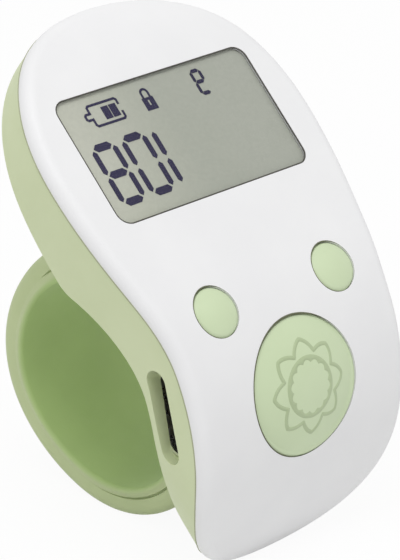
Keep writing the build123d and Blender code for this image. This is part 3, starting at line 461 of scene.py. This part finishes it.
def skin(mesh, loops, closed=True):
    """Joins loops of as many points each into a skin; an open run of loops gets end caps."""
    rows = [[mesh.verts.new(point) for point in loop] for loop in loops]
    count = len(rows[0])
    for index in range(len(rows) if closed else len(rows) - 1):
        here, there = rows[index], rows[(index + 1) % len(rows)]
        for step in range(count):
            after = (step + 1) % count
            mesh.faces.new((here[step], here[after], there[after], there[step]))
    if not closed:
        mesh.faces.new(rows[0])
        mesh.faces.new(rows[-1])


def plates(mesh, outlines, low, high):
    """Thin plates on the display, each from its outline in the face frame."""
    for outline in outlines:
        loops = [[face_point(x, y, z) for x, y in outline] for z in (low, high)]
        skin(mesh, loops, closed=False)


# Finger ring: a soft band that widens towards its rear, more so on its far side, with a bead round
# the bore and a slit in each side that fades out at its ends
RING_STEPS = 240
ARC_STEPS = 8
SIDE_STEPS = 5
FACE_STEPS = 16
REAR_FLARE = 1.1
REAR_REACH = 75.0
FAR_FLARE = 1.6
FAR_TURN = 315.0
FAR_REACH = 60.0
BORE_IN = 0.6
BORE_IN_AT = 65.0
BORE_IN_REACH = 35.0
BEAD = 0.14
SIDE_HOLLOW = 0.1
SLIT_HALF = 0.15
SLIT_LEAST_SHARE = 0.2
SLIT_FLOOR_SHARE = 0.4
SLIT_DEPTH = 0.4
SLIT_LEAST_DEPTH = 0.002
SLIT_TOP_FADE = 12.0
SLIT_LOW_FADE = 45.0
SLIT_LIP_RISE = 0.03
SLIT_LIP_REACH = 0.2
PAD_FADE = 2.5
PAD_EDGE = 0.7
STUD_STEPS = 32
STUD_EDGE = 0.15
STUD_RIM = 0.35
STUD_SLOPE = 0.3
STUD_SLOPE_DROP = 0.12
STUD_CAP = 0.8


def swell(turn, middle, reach):
    """A soft swelling round a turn in degrees: 1 in its middle, 0 beyond its reach."""
    off = min(abs((turn - middle + 180) % 360 - 180), reach)
    return cos(pi / 2 * off / reach) ** 2


def ring_side(half, bore, down):
    """One side of the ring's section, from the bore out: points of half width and radius."""
    bends = [pi / 2 * step / ARC_STEPS for step in range(ARC_STEPS + 1)]
    points = []
    for bend in bends:
        across = half + BEAD - BORE_ROUND + BORE_ROUND * sin(bend)
        points.append((across, bore + BORE_ROUND * (1 - cos(bend))))
    slit = smooth(SLIT_TOP, SLIT_TOP + SLIT_TOP_FADE, down)
    slit *= 1 - smooth(SLIT_LOW - SLIT_LOW_FADE, SLIT_LOW, down)
    side = half - SIDE_HOLLOW
    width = SLIT_HALF * (SLIT_LEAST_SHARE + (1 - SLIT_LEAST_SHARE) * slit)
    floor = side - SLIT_DEPTH * slit - SLIT_LEAST_DEPTH
    points.append((side + SLIT_LIP_RISE, SLIT_R - width - SLIT_LIP_REACH))
    points.append((side, SLIT_R - width))
    points.append((floor, SLIT_R - width * SLIT_FLOOR_SHARE))
    points.append((floor, SLIT_R + width * SLIT_FLOOR_SHARE))
    points.append((side, SLIT_R + width))
    for step in range(1, SIDE_STEPS):
        share = step / SIDE_STEPS
        radius = SLIT_R + width + (RING_R - RING_ROUND - SLIT_R - width) * share
        points.append((side + SIDE_HOLLOW * smooth(0, 1, share), radius))
    for bend in bends:
        across = half - RING_ROUND * (1 - cos(bend))
        points.append((across, RING_R - RING_ROUND * (1 - sin(bend))))
    return points


def ring_section(turn):
    """The closed section of the ring at a turn from the rear, in degrees."""
    down = (turn + LEAN_DEGREES) % 360 - 180
    half = RING_HALF + REAR_FLARE * swell(turn, 0, REAR_REACH)
    far_half = half + FAR_FLARE * swell(turn, FAR_TURN, FAR_REACH)
    bore = RING_BORE_R - BORE_IN * swell(abs(down), BORE_IN_AT, BORE_IN_REACH)
    right = ring_side(far_half, bore, down)
    left = [(-across, radius) for across, radius in reversed(ring_side(half, bore, down))]
    pad = (PAD_R - RING_R) * (1 - smooth(PAD_ANGLE - PAD_FADE, PAD_ANGLE, abs(down)))
    outer, inner = [], []
    for step in range(1, FACE_STEPS):
        share = step / FACE_STEPS
        across = right[-1][0] + (left[0][0] - right[-1][0]) * share
        rise = pad * (1 - smooth(PAD_HALF - PAD_EDGE, PAD_HALF, abs(across)))
        outer.append((across, RING_R + rise))
        inner.append((left[-1][0] + (right[0][0] - left[-1][0]) * share, bore))
    return right + outer + left + inner


ring_mesh = bmesh.new()
ring_loops = []
for step in range(RING_STEPS):
    turn = 360 * step / RING_STEPS
    out = Vector((0, cos(radians(turn)), sin(radians(turn))))
    section = ring_section(turn)
    ring_loops.append([(Vector((across, 0, 0)) + out * radius) * MM for across, radius in section])
skin(ring_mesh, ring_loops)
stud_profile = (
    (STUD_R, STUD_FOOT),
    (STUD_R, STUD_NECK),
    (STUD_HEAD_R - STUD_EDGE, STUD_NECK),
    (STUD_HEAD_R, STUD_NECK + STUD_EDGE),
    (STUD_HEAD_R, STUD_NECK + STUD_RIM),
    (STUD_HEAD_R - STUD_SLOPE, STUD_TOP - STUD_SLOPE_DROP),
    (STUD_HEAD_R - STUD_CAP, STUD_TOP),
)
for stud_at in (-STUD_ACROSS, STUD_ACROSS):
    stud_loops = []
    for radius, level in stud_profile:
        loop = []
        for turn in turns(STUD_STEPS):
            loop.append(face_point(stud_at + radius * cos(turn), radius * sin(turn), level))
        stud_loops.append(loop)
    skin(ring_mesh, stud_loops, closed=False)
ring = piece("soft_ring", ring_mesh, finishes["finger_ring"], "housing")
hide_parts("finger_ring")

# Face of the display: an even sheet on the film, under the marks
FACE_LOW = FILM_TOP + 0.001
FACE_HIGH = FILM_TOP + 0.006
FACE_INSET = 0.06
CORNER_STEPS = 10


def rounded_outline(inset):
    """The window's outline, drawn in by an inset."""
    radius = WINDOW_ROUND - inset
    points = []
    for quarter, (sx, sy) in enumerate(((1, 1), (-1, 1), (-1, -1), (1, -1))):
        cx = sx * (WINDOW_WIDTH / 2 - WINDOW_ROUND)
        cy = WINDOW_AT + sy * (WINDOW_HEIGHT / 2 - WINDOW_ROUND)
        for step in range(CORNER_STEPS + 1):
            turn = pi / 2 * (quarter + step / CORNER_STEPS)
            points.append((cx + radius * cos(turn), cy + radius * sin(turn)))
    return points


display_face = bmesh.new()
plates(display_face, [rounded_outline(FACE_INSET)], FACE_LOW, FACE_HIGH)
piece("display_face", display_face, finishes["lcd_polarizer"], "housing")

# Marks on the display: numerals of seven bars, a battery and a padlock
MARK_LOW = FILM_TOP + 0.01
MARK_HIGH = FILM_TOP + 0.04
DIGIT_STROKES = (0.82, 0.62)
DIGIT_GAP = 0.17
DIGIT_LEVELS = (9.98, 13.03, 16.07)
DIGITS = ((-11.0, -8.34, "abcdefg"), (-7.1, -4.43, "abcdef"), (-5.8, -3.16, "bc"))
SMALL_STROKES = (0.42, 0.35)
SMALL_GAP = 0.04
SMALL_LEVELS = (18.0, 19.32, 20.57)
SMALL_DIGIT = (5.25, 6.4, "abdefg")
LEAST_MITRE = 0.5
BATTERY_LINE = 0.26
BATTERY_CASE = (
    (-5.08, 19.72), (-5.08, 20.25), (-5.26, 20.43), (-8.73, 20.43), (-8.91, 20.25), (-8.91, 19.63),
    (-9.45, 19.63), (-9.6, 19.48), (-9.6, 19.13), (-9.45, 18.98), (-8.87, 18.98), (-8.87, 18.34),
    (-8.69, 18.16), (-5.24, 18.16), (-5.06, 18.34), (-5.06, 18.99),
)
BATTERY_BARS = ((-7.34, -6.45), (-6.34, -5.45))
BATTERY_BAR_LOW = 18.57
BATTERY_BAR_HIGH = 19.97
LOCK_MIDDLE = -1.44
LOCK_HALF = 0.72
LOCK_LOW = 18.05
LOCK_HIGH = 19.46
KEYHOLE_HALF = 0.11
KEYHOLE_LOW = 18.58
KEYHOLE_HIGH = 19.17
SHACKLE_R = 0.43
SHACKLE_TOP = 19.97
SHACKLE_FOOT = LOCK_HIGH - 0.05
SHACKLE_LINE = 0.25
SHACKLE_STEPS = 12


def bar(start, end, stroke):
    """A six-sided bar with pointed ends, upright or level."""
    half = stroke / 2
    (x0, y0), (x1, y1) = start, end
    if x0 == x1:
        return [
            (x0, y0), (x0 + half, y0 + half), (x0 + half, y1 - half),
            (x0, y1), (x0 - half, y1 - half), (x0 - half, y0 + half),
        ]
    return [
        (x0, y0), (x0 + half, y0 - half), (x1 - half, y0 - half),
        (x1, y0), (x1 - half, y0 + half), (x0 + half, y0 + half),
    ]


def digit(place, levels, strokes, gap):
    """The bars of one numeral on their middle lines: a top, b to f clockwise, g middle."""
    left, right, bars = place
    low, middle, high = levels
    level, upright = strokes
    lines = {
        "a": ((left + gap, high), (right - gap, high), level),
        "b": ((right, middle + gap), (right, high - gap), upright),
        "c": ((right, low + gap), (right, middle - gap), upright),
        "d": ((left + gap, low), (right - gap, low), level),
        "e": ((left, low + gap), (left, middle - gap), upright),
        "f": ((left, middle + gap), (left, high - gap), upright),
        "g": ((left + gap, middle), (right - gap, middle), level),
    }
    return [bar(*lines[letter]) for letter in bars]


def strip(points, width):
    """A line of a width along points, as one outline."""
    left, right = [], []
    for index, (x, y) in enumerate(points):
        before = points[max(index - 1, 0)]
        after = points[min(index + 1, len(points) - 1)]
        into = Vector((x - before[0], y - before[1]))
        away = Vector((after[0] - x, after[1] - y))
        into = into.normalized() if into.length else away.normalized()
        away = away.normalized() if away.length else into
        along = (into + away).normalized()
        reach = width / 2 / max(along.dot(into), LEAST_MITRE)
        left.append((x - along.y * reach, y + along.x * reach))
        right.append((x + along.y * reach, y - along.x * reach))
    return right + left[::-1]


def box_outline(left, right, low, high):
    """A rectangle's corners."""
    return [(left, low), (right, low), (right, high), (left, high)]


def mark(name, outlines):
    """A mark in the display's ink."""
    mesh = bmesh.new()
    plates(mesh, outlines, MARK_LOW, MARK_HIGH)
    piece(name, mesh, ink, "housing")


numeral_bars = []
for place in DIGITS:
    numeral_bars += digit(place, DIGIT_LEVELS, DIGIT_STROKES, DIGIT_GAP)
mark("display_numerals", numeral_bars)
mark("display_small_numeral", digit(SMALL_DIGIT, SMALL_LEVELS, SMALL_STROKES, SMALL_GAP))

battery_shapes = [strip(BATTERY_CASE, BATTERY_LINE)]
for left, right in BATTERY_BARS:
    battery_shapes.append(box_outline(left, right, BATTERY_BAR_LOW, BATTERY_BAR_HIGH))
mark("display_battery_mark", battery_shapes)

lock_left, lock_right = LOCK_MIDDLE - LOCK_HALF, LOCK_MIDDLE + LOCK_HALF
hole_left, hole_right = LOCK_MIDDLE - KEYHOLE_HALF, LOCK_MIDDLE + KEYHOLE_HALF
shackle = [(LOCK_MIDDLE - SHACKLE_R, SHACKLE_FOOT)]
for step in range(SHACKLE_STEPS + 1):
    turn = pi - pi * step / SHACKLE_STEPS
    shackle.append((LOCK_MIDDLE + SHACKLE_R * cos(turn), SHACKLE_TOP + SHACKLE_R * sin(turn)))
shackle.append((LOCK_MIDDLE + SHACKLE_R, SHACKLE_FOOT))
lock_shapes = [
    box_outline(lock_left, hole_left, LOCK_LOW, LOCK_HIGH),
    box_outline(hole_right, lock_right, LOCK_LOW, LOCK_HIGH),
    box_outline(hole_left, hole_right, LOCK_LOW, KEYHOLE_LOW),
    box_outline(hole_left, hole_right, KEYHOLE_HIGH, LOCK_HIGH),
    strip(shackle, SHACKLE_LINE),
]
mark("display_lock_mark", lock_shapes)

# Dark line of painted shade round the lens, at the window's edge
WINDOW_SHADE_OUT = 0.01
WINDOW_SHADE_IN = 0.15
WINDOW_SHADE_LOW = LENS_TOP - 0.03
WINDOW_SHADE_HIGH = LENS_TOP + 0.03
window_shade_mesh = bmesh.new()
window_shade_loops = []
for outside, inside in zip(rounded_outline(WINDOW_SHADE_OUT), rounded_outline(WINDOW_SHADE_IN)):
    window_shade_loops.append(
        [
            face_point(*outside, WINDOW_SHADE_LOW),
            face_point(*outside, WINDOW_SHADE_HIGH),
            face_point(*inside, WINDOW_SHADE_HIGH),
            face_point(*inside, WINDOW_SHADE_LOW),
        ]
    )
skin(window_shade_mesh, window_shade_loops)
piece("lens_gap_shade", window_shade_mesh, window_gap_shade, "housing")

# Soft tops of the small buttons: they fill their holes and swell a little above the face
HOLE_GAP = 0.05
TOP_R = SMALL_R - HOLE_GAP
TOP_SWELL = 0.46
TOP_SINK = 0.12
TOP_TILT = 0.1
TOP_TILT_TURN = radians(120)
TOP_EDGE = 0.12
TOP_EDGE_START = 0.9
TOP_DEPTH = 0.4
TOP_ROWS = 15
TOP_STEPS = 64


def top_rise(share, turn):
    """How far a small button's top stands above the face, at a share of its radius."""
    rise = TOP_SWELL * (1 - share**2) - TOP_SINK - TOP_TILT * share * cos(turn - TOP_TILT_TURN)
    return rise - TOP_EDGE * smooth(TOP_EDGE_START, 1, share)


def top_foot(share, turn):
    """The level of the foot of a small button's top, from the face."""
    return -TOP_SINK - TOP_DEPTH


def top_loop(across_at, share, rise):
    """One loop of a small button's top, at a share of its radius."""
    loop = []
    for turn in turns(TOP_STEPS):
        x = across_at + TOP_R * share * cos(turn)
        y = SMALL_AT + TOP_R * share * sin(turn)
        loop.append(face_point(x, y, face_level(y) + rise(share, turn)))
    return loop


def button_top(name, across_at, body):
    """A thin swelled top that follows the face over one small button."""
    loops = [top_loop(across_at, row / TOP_ROWS, top_rise) for row in range(1, TOP_ROWS + 1)]
    mesh = bmesh.new()
    skin(mesh, [*loops, top_loop(across_at, 1, top_foot)], closed=False)
    piece(name, mesh, finishes["count_button"], body)


button_top("left_button_top", -SMALL_ACROSS, "left_button")
button_top("right_button_top", SMALL_ACROSS, "right_button")

# Soft rim of the count button: it fills the hole, and sits a little deeper at its top left
CROWN_ARC_R = (COUNT_R**2 + COUNT_DOME**2) / (2 * COUNT_DOME)
RIM_R = COUNT_R - HOLE_GAP
RIM_START = 0.8
RIM_SINK = 0.16
RIM_TILT = 0.18
RIM_TILT_TURN = radians(115)
RIM_EDGE = 0.06
RIM_EDGE_START = 0.97
RIM_EMBED = 0.02
RIM_DEPTH = 0.5
RIM_ROWS = 24
RIM_STEPS = 128


def dome_level(x, y):
    """The level of the count button's top in its own frame."""
    girth = COUNT_CROWN_R - CROWN_ARC_R + sqrt(CROWN_ARC_R**2 - x * x)
    return COUNT_TOP - COUNT_CROWN_R + sqrt(girth * girth - y * y)


def rim_loop(share, drop=0):
    """One loop of the rim at a share of its radius, lowered by a depth."""
    loop = []
    for turn in turns(RIM_STEPS):
        x, y = RIM_R * share * cos(turn), RIM_R * share * sin(turn)
        dome = dome_level(x, y) - RIM_EMBED
        edge = key_level(y) - RIM_SINK - RIM_TILT * cos(turn - RIM_TILT_TURN)
        level = dome + (edge - dome) * smooth(RIM_START, 1, share)
        level -= RIM_EDGE * smooth(RIM_EDGE_START, 1, share)
        loop.append(key_point(x, y, level - drop))
    return loop


rim_rows = [rim_loop(RIM_START, RIM_DEPTH)]
for row in range(RIM_ROWS + 1):
    rim_rows.append(rim_loop(RIM_START + (1 - RIM_START) * row / RIM_ROWS))
rim_rows.append(rim_loop(1, RIM_DEPTH))
rim = bmesh.new()
skin(rim, rim_rows)
piece("count_button_rim", rim, finishes["count_button"], "count_button")

# Painted shadow in the buttons' holes: fine dark beads along the gaps, thickest at the upper left,
# that fade out at the right
GAP_SHADE_LEAST = 0.01
GAP_SHADE_SINK = 0.5
GAP_SHADE_TURN = radians(165)
GAP_SHADE_FADE = (-0.75, 0.6)
GAP_SHADE_TOP_TURN = radians(88)
GAP_SHADE_TOP_SHARPNESS = 6
GAP_SHADE_STEPS = 160
GAP_SHADE_SIDES = 10
COUNT_GAP_SHADE = 0.075
COUNT_GAP_SHADE_TOP = 0.05
SMALL_GAP_SHADE = 0.05
SMALL_GAP_SHADE_TOP = 0.04


def gap_shadow_bead(name, place, level, middle, hole_r, bead, top_extra):
    """A dark bead of painted shadow along the edge of one button's hole."""
    loops = []
    for turn in turns(GAP_SHADE_STEPS):
        girth = GAP_SHADE_LEAST + (bead - GAP_SHADE_LEAST) * smooth(*GAP_SHADE_FADE, cos(turn - GAP_SHADE_TURN))
        girth += top_extra * max(cos(turn - GAP_SHADE_TOP_TURN), 0) ** GAP_SHADE_TOP_SHARPNESS
        loop = []
        for around in turns(GAP_SHADE_SIDES):
            reach = hole_r + girth * cos(around)
            x, y = middle[0] + reach * cos(turn), middle[1] + reach * sin(turn)
            loop.append(place(x, y, level(y) + girth * (sin(around) - GAP_SHADE_SINK)))
        loops.append(loop)
    mesh = bmesh.new()
    skin(mesh, loops)
    piece(name, mesh, gap_shade_olive, "housing")


gap_shadow_bead(
    "count_button_gap_shade", key_point, key_level, (0, 0), COUNT_R, COUNT_GAP_SHADE, COUNT_GAP_SHADE_TOP
)
for name, across_at in (("left_button_gap_shade", -SMALL_ACROSS), ("right_button_gap_shade", SMALL_ACROSS)):
    middle = (across_at, SMALL_AT)
    gap_shadow_bead(name, face_point, face_level, middle, SMALL_R, SMALL_GAP_SHADE, SMALL_GAP_SHADE_TOP)

# Flower on the count button: eight pointed petals round a scalloped ring, as low ridges on the dome
PETALS = 8
PETAL_STEPS = 22
PETAL_OFFSET = 0.5
PETAL_TIP = 4.7
PETAL_VALLEY = 3.5
PETAL_STRAIGHT = 0.55
PETAL_ROUND = 0.45
RIDGE_HALF = 0.2
RIDGE_HEIGHT = 0.07
RIDGE_SINK = 0.08
RIDGE_STEPS = 8
RIDGE_CREASE = 60
SCALLOPS = 14
SCALLOP_STEPS = 352
SCALLOP_OUT = 3.1
SCALLOP_IN = 2.66
SCALLOP_DEPTH = 0.3


def ridge(name, edges):
    """A low rounded ridge on the dome between pairs of edge points."""
    loops = []
    for (xa, ya), (xb, yb) in edges:
        loop = []
        for step in range(RIDGE_STEPS + 1):
            share = step / RIDGE_STEPS
            x, y = xa + (xb - xa) * share, ya + (yb - ya) * share
            loop.append(key_point(x, y, dome_level(x, y) + RIDGE_HEIGHT * sin(pi * share)))
        loop.append(key_point(xb, yb, dome_level(xb, yb) - RIDGE_SINK))
        loop.append(key_point(xa, ya, dome_level(xa, ya) - RIDGE_SINK))
        loops.append(loop)
    mesh = bmesh.new()
    skin(mesh, loops)
    piece(name, mesh, flower_green, "count_button", RIDGE_CREASE)


petal_line = []
for petal in range(PETALS):
    for step in range(2 * PETAL_STEPS):
        share = 1 - abs(step / PETAL_STEPS - 1)
        swelling = PETAL_STRAIGHT * share + PETAL_ROUND * sin(pi / 2 * share)
        reach = PETAL_VALLEY + (PETAL_TIP - PETAL_VALLEY) * swelling
        turn = 2 * pi * (petal + PETAL_OFFSET + step / (2 * PETAL_STEPS)) / PETALS
        petal_line.append(Vector((reach * cos(turn), reach * sin(turn))))
petal_edges = []
for index, point in enumerate(petal_line):
    along = (petal_line[(index + 1) % len(petal_line)] - petal_line[index - 1]).normalized()
    off = Vector((along.y, -along.x)) * RIDGE_HALF
    petal_edges.append((point - off, point + off))
ridge("flower_petals", petal_edges)

scallop_edges = []
for turn in turns(SCALLOP_STEPS):
    inside = SCALLOP_IN - SCALLOP_DEPTH * (1 - abs(sin(SCALLOPS / 2 * turn)))
    out = Vector((cos(turn), sin(turn)))
    scallop_edges.append((out * inside, out * SCALLOP_OUT))
ridge("flower_middle", scallop_edges)

# Seam between the covers: a fine dark bead of painted shade along the outer rim of the shell
SEAM_NEAR = 0.005
SEAM_R = 0.07
SEAM_SIDES = 8
SEAM_WELD = 1e-7
SEAM_CREASE = 80


def out_of_face(point):
    """The direction square to the face at a point, and the point's level in millimetres."""
    along = (point.y * sin(LEAN) + point.z * cos(LEAN)) / MM
    height = (point.z * sin(LEAN) - point.y * cos(LEAN)) / MM
    sunk = FACE_R - CROWN_R if along > CROWN_START else 0
    past = max(along - CROWN_START, 0) or min(along, 0)
    reach = hypot(past, height - sunk)
    return face_point(0, past, height - sunk).normalized(), sunk + reach


def rim_loops(node):
    """The closed edge loops of a node's rim at the seam's level, as lists of points."""
    mesh = bmesh.new()
    mesh.from_mesh(node.data)
    bmesh.ops.remove_doubles(mesh, verts=mesh.verts, dist=SEAM_WELD)
    near = {vert for vert in mesh.verts if abs(out_of_face(vert.co)[1] - SEAM_LEVEL) < SEAM_NEAR}
    beside = {}
    for edge in mesh.edges:
        flat = [face for face in edge.link_faces if all(vert in near for vert in face.verts)]
        if len(flat) == 1 and len(edge.link_faces) == 2:
            for vert in edge.verts:
                beside.setdefault(vert, []).append(edge.other_vert(vert))
    loops = []
    while beside:
        start = min(beside, key=lambda vert: vert.index)
        loop, vert = [], start
        while vert in beside:
            loop.append(vert.co.copy())
            ahead = [other for other in beside.pop(vert) if other in beside]
            vert = ahead[0] if ahead else start
        loops.append(loop)
    mesh.free()
    return loops


def loop_length(loop):
    """The length round a closed loop."""
    return sum((point - loop[index - 1]).length for index, point in enumerate(loop))


seam_loop = max(rim_loops(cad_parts["back_cover"]), key=loop_length)
seam_rows = []
for index, point in enumerate(seam_loop):
    along = (seam_loop[(index + 1) % len(seam_loop)] - seam_loop[index - 1]).normalized()
    out = out_of_face(point)[0]
    aside = along.cross(out).normalized()
    row = []
    for turn in turns(SEAM_SIDES):
        row.append(point + (out * cos(turn) + aside * sin(turn)) * SEAM_R * MM)
    seam_rows.append(row)
seam_mesh = bmesh.new()
skin(seam_mesh, seam_rows)
piece("seam_shade_line", seam_mesh, seam_shade_olive, "housing", SEAM_CREASE)

# Contacts on both faces of the port's tongue
CONTACTS = 8
CONTACT_PITCH = 0.7
CONTACT_HALF = 0.16
CONTACT_SETBACK = 0.3
CONTACT_LENGTH = 2.6
CONTACT_LIFT = 0.02
CONTACT_FRONT = PORT_MOUTH + PORT_TONGUE_SETBACK + CONTACT_SETBACK
CONTACT_BACK = CONTACT_FRONT + CONTACT_LENGTH
contacts = bmesh.new()
for index in range(CONTACTS):
    middle = PORT_ALONG + CONTACT_PITCH * (index - (CONTACTS - 1) / 2)
    low, high = middle - CONTACT_HALF, middle + CONTACT_HALF
    corners = box_outline(CONTACT_FRONT, CONTACT_BACK, low, high)
    for face in (-1, 1):
        loops = []
        for lift in (-CONTACT_LIFT, CONTACT_LIFT):
            level = PORT_LEVEL + face * (TONGUE_HALF + lift)
            loops.append([key_point(x, y, level) for x, y in corners])
        skin(contacts, loops, closed=False)
piece("port_contacts", contacts, gold, "housing")

# Floor: pale, with a share of plain white for the camera, so that a soft shadow stays
FLOOR_HALF = 2.0
FLOOR_COLOUR = (0.9, 0.9, 0.9, 1)
FLOOR_ROUGH = 0.9
FLOOR_GLOW_SHARE = 0.94
scene = bpy.context.scene
floor_corners = []
for sx, sy in ((-1, -1), (1, -1), (1, 1), (-1, 1)):
    floor_corners.append((sx * FLOOR_HALF, sy * FLOOR_HALF, FLOOR_LEVEL * MM))
floor_data = bpy.data.meshes.new("floor")
floor_data.from_pydata(floor_corners, [], [(0, 1, 2, 3)])
floor = bpy.data.objects.new("floor", floor_data)
scene.collection.objects.link(floor)


def seen_rays(nodes, links):
    """1 for rays that show the background: from the camera, in gloss and through glass."""
    path = nodes.new("ShaderNodeLightPath")
    first = nodes.new("ShaderNodeMath")
    first.operation = "MAXIMUM"
    links.new(path.outputs["Is Camera Ray"], first.inputs[0])
    links.new(path.outputs["Is Glossy Ray"], first.inputs[1])
    second = nodes.new("ShaderNodeMath")
    second.operation = "MAXIMUM"
    links.new(first.outputs[0], second.inputs[0])
    links.new(path.outputs["Is Transmission Ray"], second.inputs[1])
    return second.outputs[0]


floor_finish = bpy.data.materials.new("floor_white")
floor_finish.use_nodes = True
nodes, links = floor_finish.node_tree.nodes, floor_finish.node_tree.links
floor_shader = nodes["Principled BSDF"]
floor_shader.inputs["Base Color"].default_value = FLOOR_COLOUR
floor_shader.inputs["Roughness"].default_value = FLOOR_ROUGH
glow = nodes.new("ShaderNodeEmission")
glow.inputs["Strength"].default_value = 1.0
glow_share = nodes.new("ShaderNodeMath")
glow_share.operation = "MULTIPLY"
glow_share.inputs[1].default_value = FLOOR_GLOW_SHARE
links.new(seen_rays(nodes, links), glow_share.inputs[0])
floor_mix = nodes.new("ShaderNodeMixShader")
links.new(glow_share.outputs[0], floor_mix.inputs[0])
links.new(floor_shader.outputs[0], floor_mix.inputs[1])
links.new(glow.outputs[0], floor_mix.inputs[2])
links.new(floor_mix.outputs[0], nodes["Material Output"].inputs["Surface"])
floor_data.materials.append(floor_finish)

# Light: an even white world and two soft lamps, with places in metres and powers in watts
WORLD_LIGHT = 0.57
KEY_PLACE = (-0.15, -0.12, 0.57)
KEY_POWER = 1.7
KEY_SIZE = 0.35
FILL_PLACE = (0.35, -0.35, 0.3)
FILL_POWER = 0.06
FILL_SIZE = 0.4
world = bpy.data.worlds.new("studio")
scene.world = world
world.use_nodes = True
nodes, links = world.node_tree.nodes, world.node_tree.links
lit = nodes["Background"]
lit.inputs["Color"].default_value = (*WHITE, 1)
lit.inputs["Strength"].default_value = WORLD_LIGHT
shown = nodes.new("ShaderNodeBackground")
shown.inputs["Color"].default_value = (*WHITE, 1)
shown.inputs["Strength"].default_value = 1.0
world_mix = nodes.new("ShaderNodeMixShader")
links.new(seen_rays(nodes, links), world_mix.inputs[0])
links.new(lit.outputs[0], world_mix.inputs[1])
links.new(shown.outputs[0], world_mix.inputs[2])
links.new(world_mix.outputs[0], nodes["World Output"].inputs["Surface"])


def softbox(name, place, power, size):
    """A square area lamp aimed at the object."""
    lamp = bpy.data.lights.new(name, "AREA")
    lamp.energy = power
    lamp.size = size
    thing = bpy.data.objects.new(name, lamp)
    thing.location = place
    thing.rotation_euler = (-Vector(place)).to_track_quat("-Z", "Y").to_euler()
    scene.collection.objects.link(thing)


softbox("key_light", KEY_PLACE, KEY_POWER, KEY_SIZE)
softbox("fill_light", FILL_PLACE, FILL_POWER, FILL_SIZE)

# Camera: fitted to the display window's corners in the photograph, given in the face frame
SENSOR = 36.0
FOCAL_PIXELS = 3146.7
IMAGE_HEIGHT = 560
CLIP_START = 0.01
CAMERA_RIGHT = (0.7076, -0.5049, 0.4943)
CAMERA_UP = (0.2715, 0.8402, 0.4695)
CAMERA_AHEAD = (0.6524, 0.1979, -0.7316)
CAMERA_PLACE = (-202.6, -58.8, 240.6)
camera_data = bpy.data.cameras.new("camera")
camera_data.sensor_fit = "VERTICAL"
camera_data.sensor_height = SENSOR
camera_data.lens = FOCAL_PIXELS * SENSOR / IMAGE_HEIGHT
camera_data.clip_start = CLIP_START
camera = bpy.data.objects.new("camera", camera_data)
scene.collection.objects.link(camera)
right = face_point(*CAMERA_RIGHT).normalized()
up = face_point(*CAMERA_UP).normalized()
ahead = face_point(*CAMERA_AHEAD).normalized()
placing = Matrix((right, up, -ahead)).transposed().to_4x4()
placing.translation = face_point(*CAMERA_PLACE)
camera.matrix_world = placing
scene.camera = camera
scene.view_settings.view_transform = "Standard"
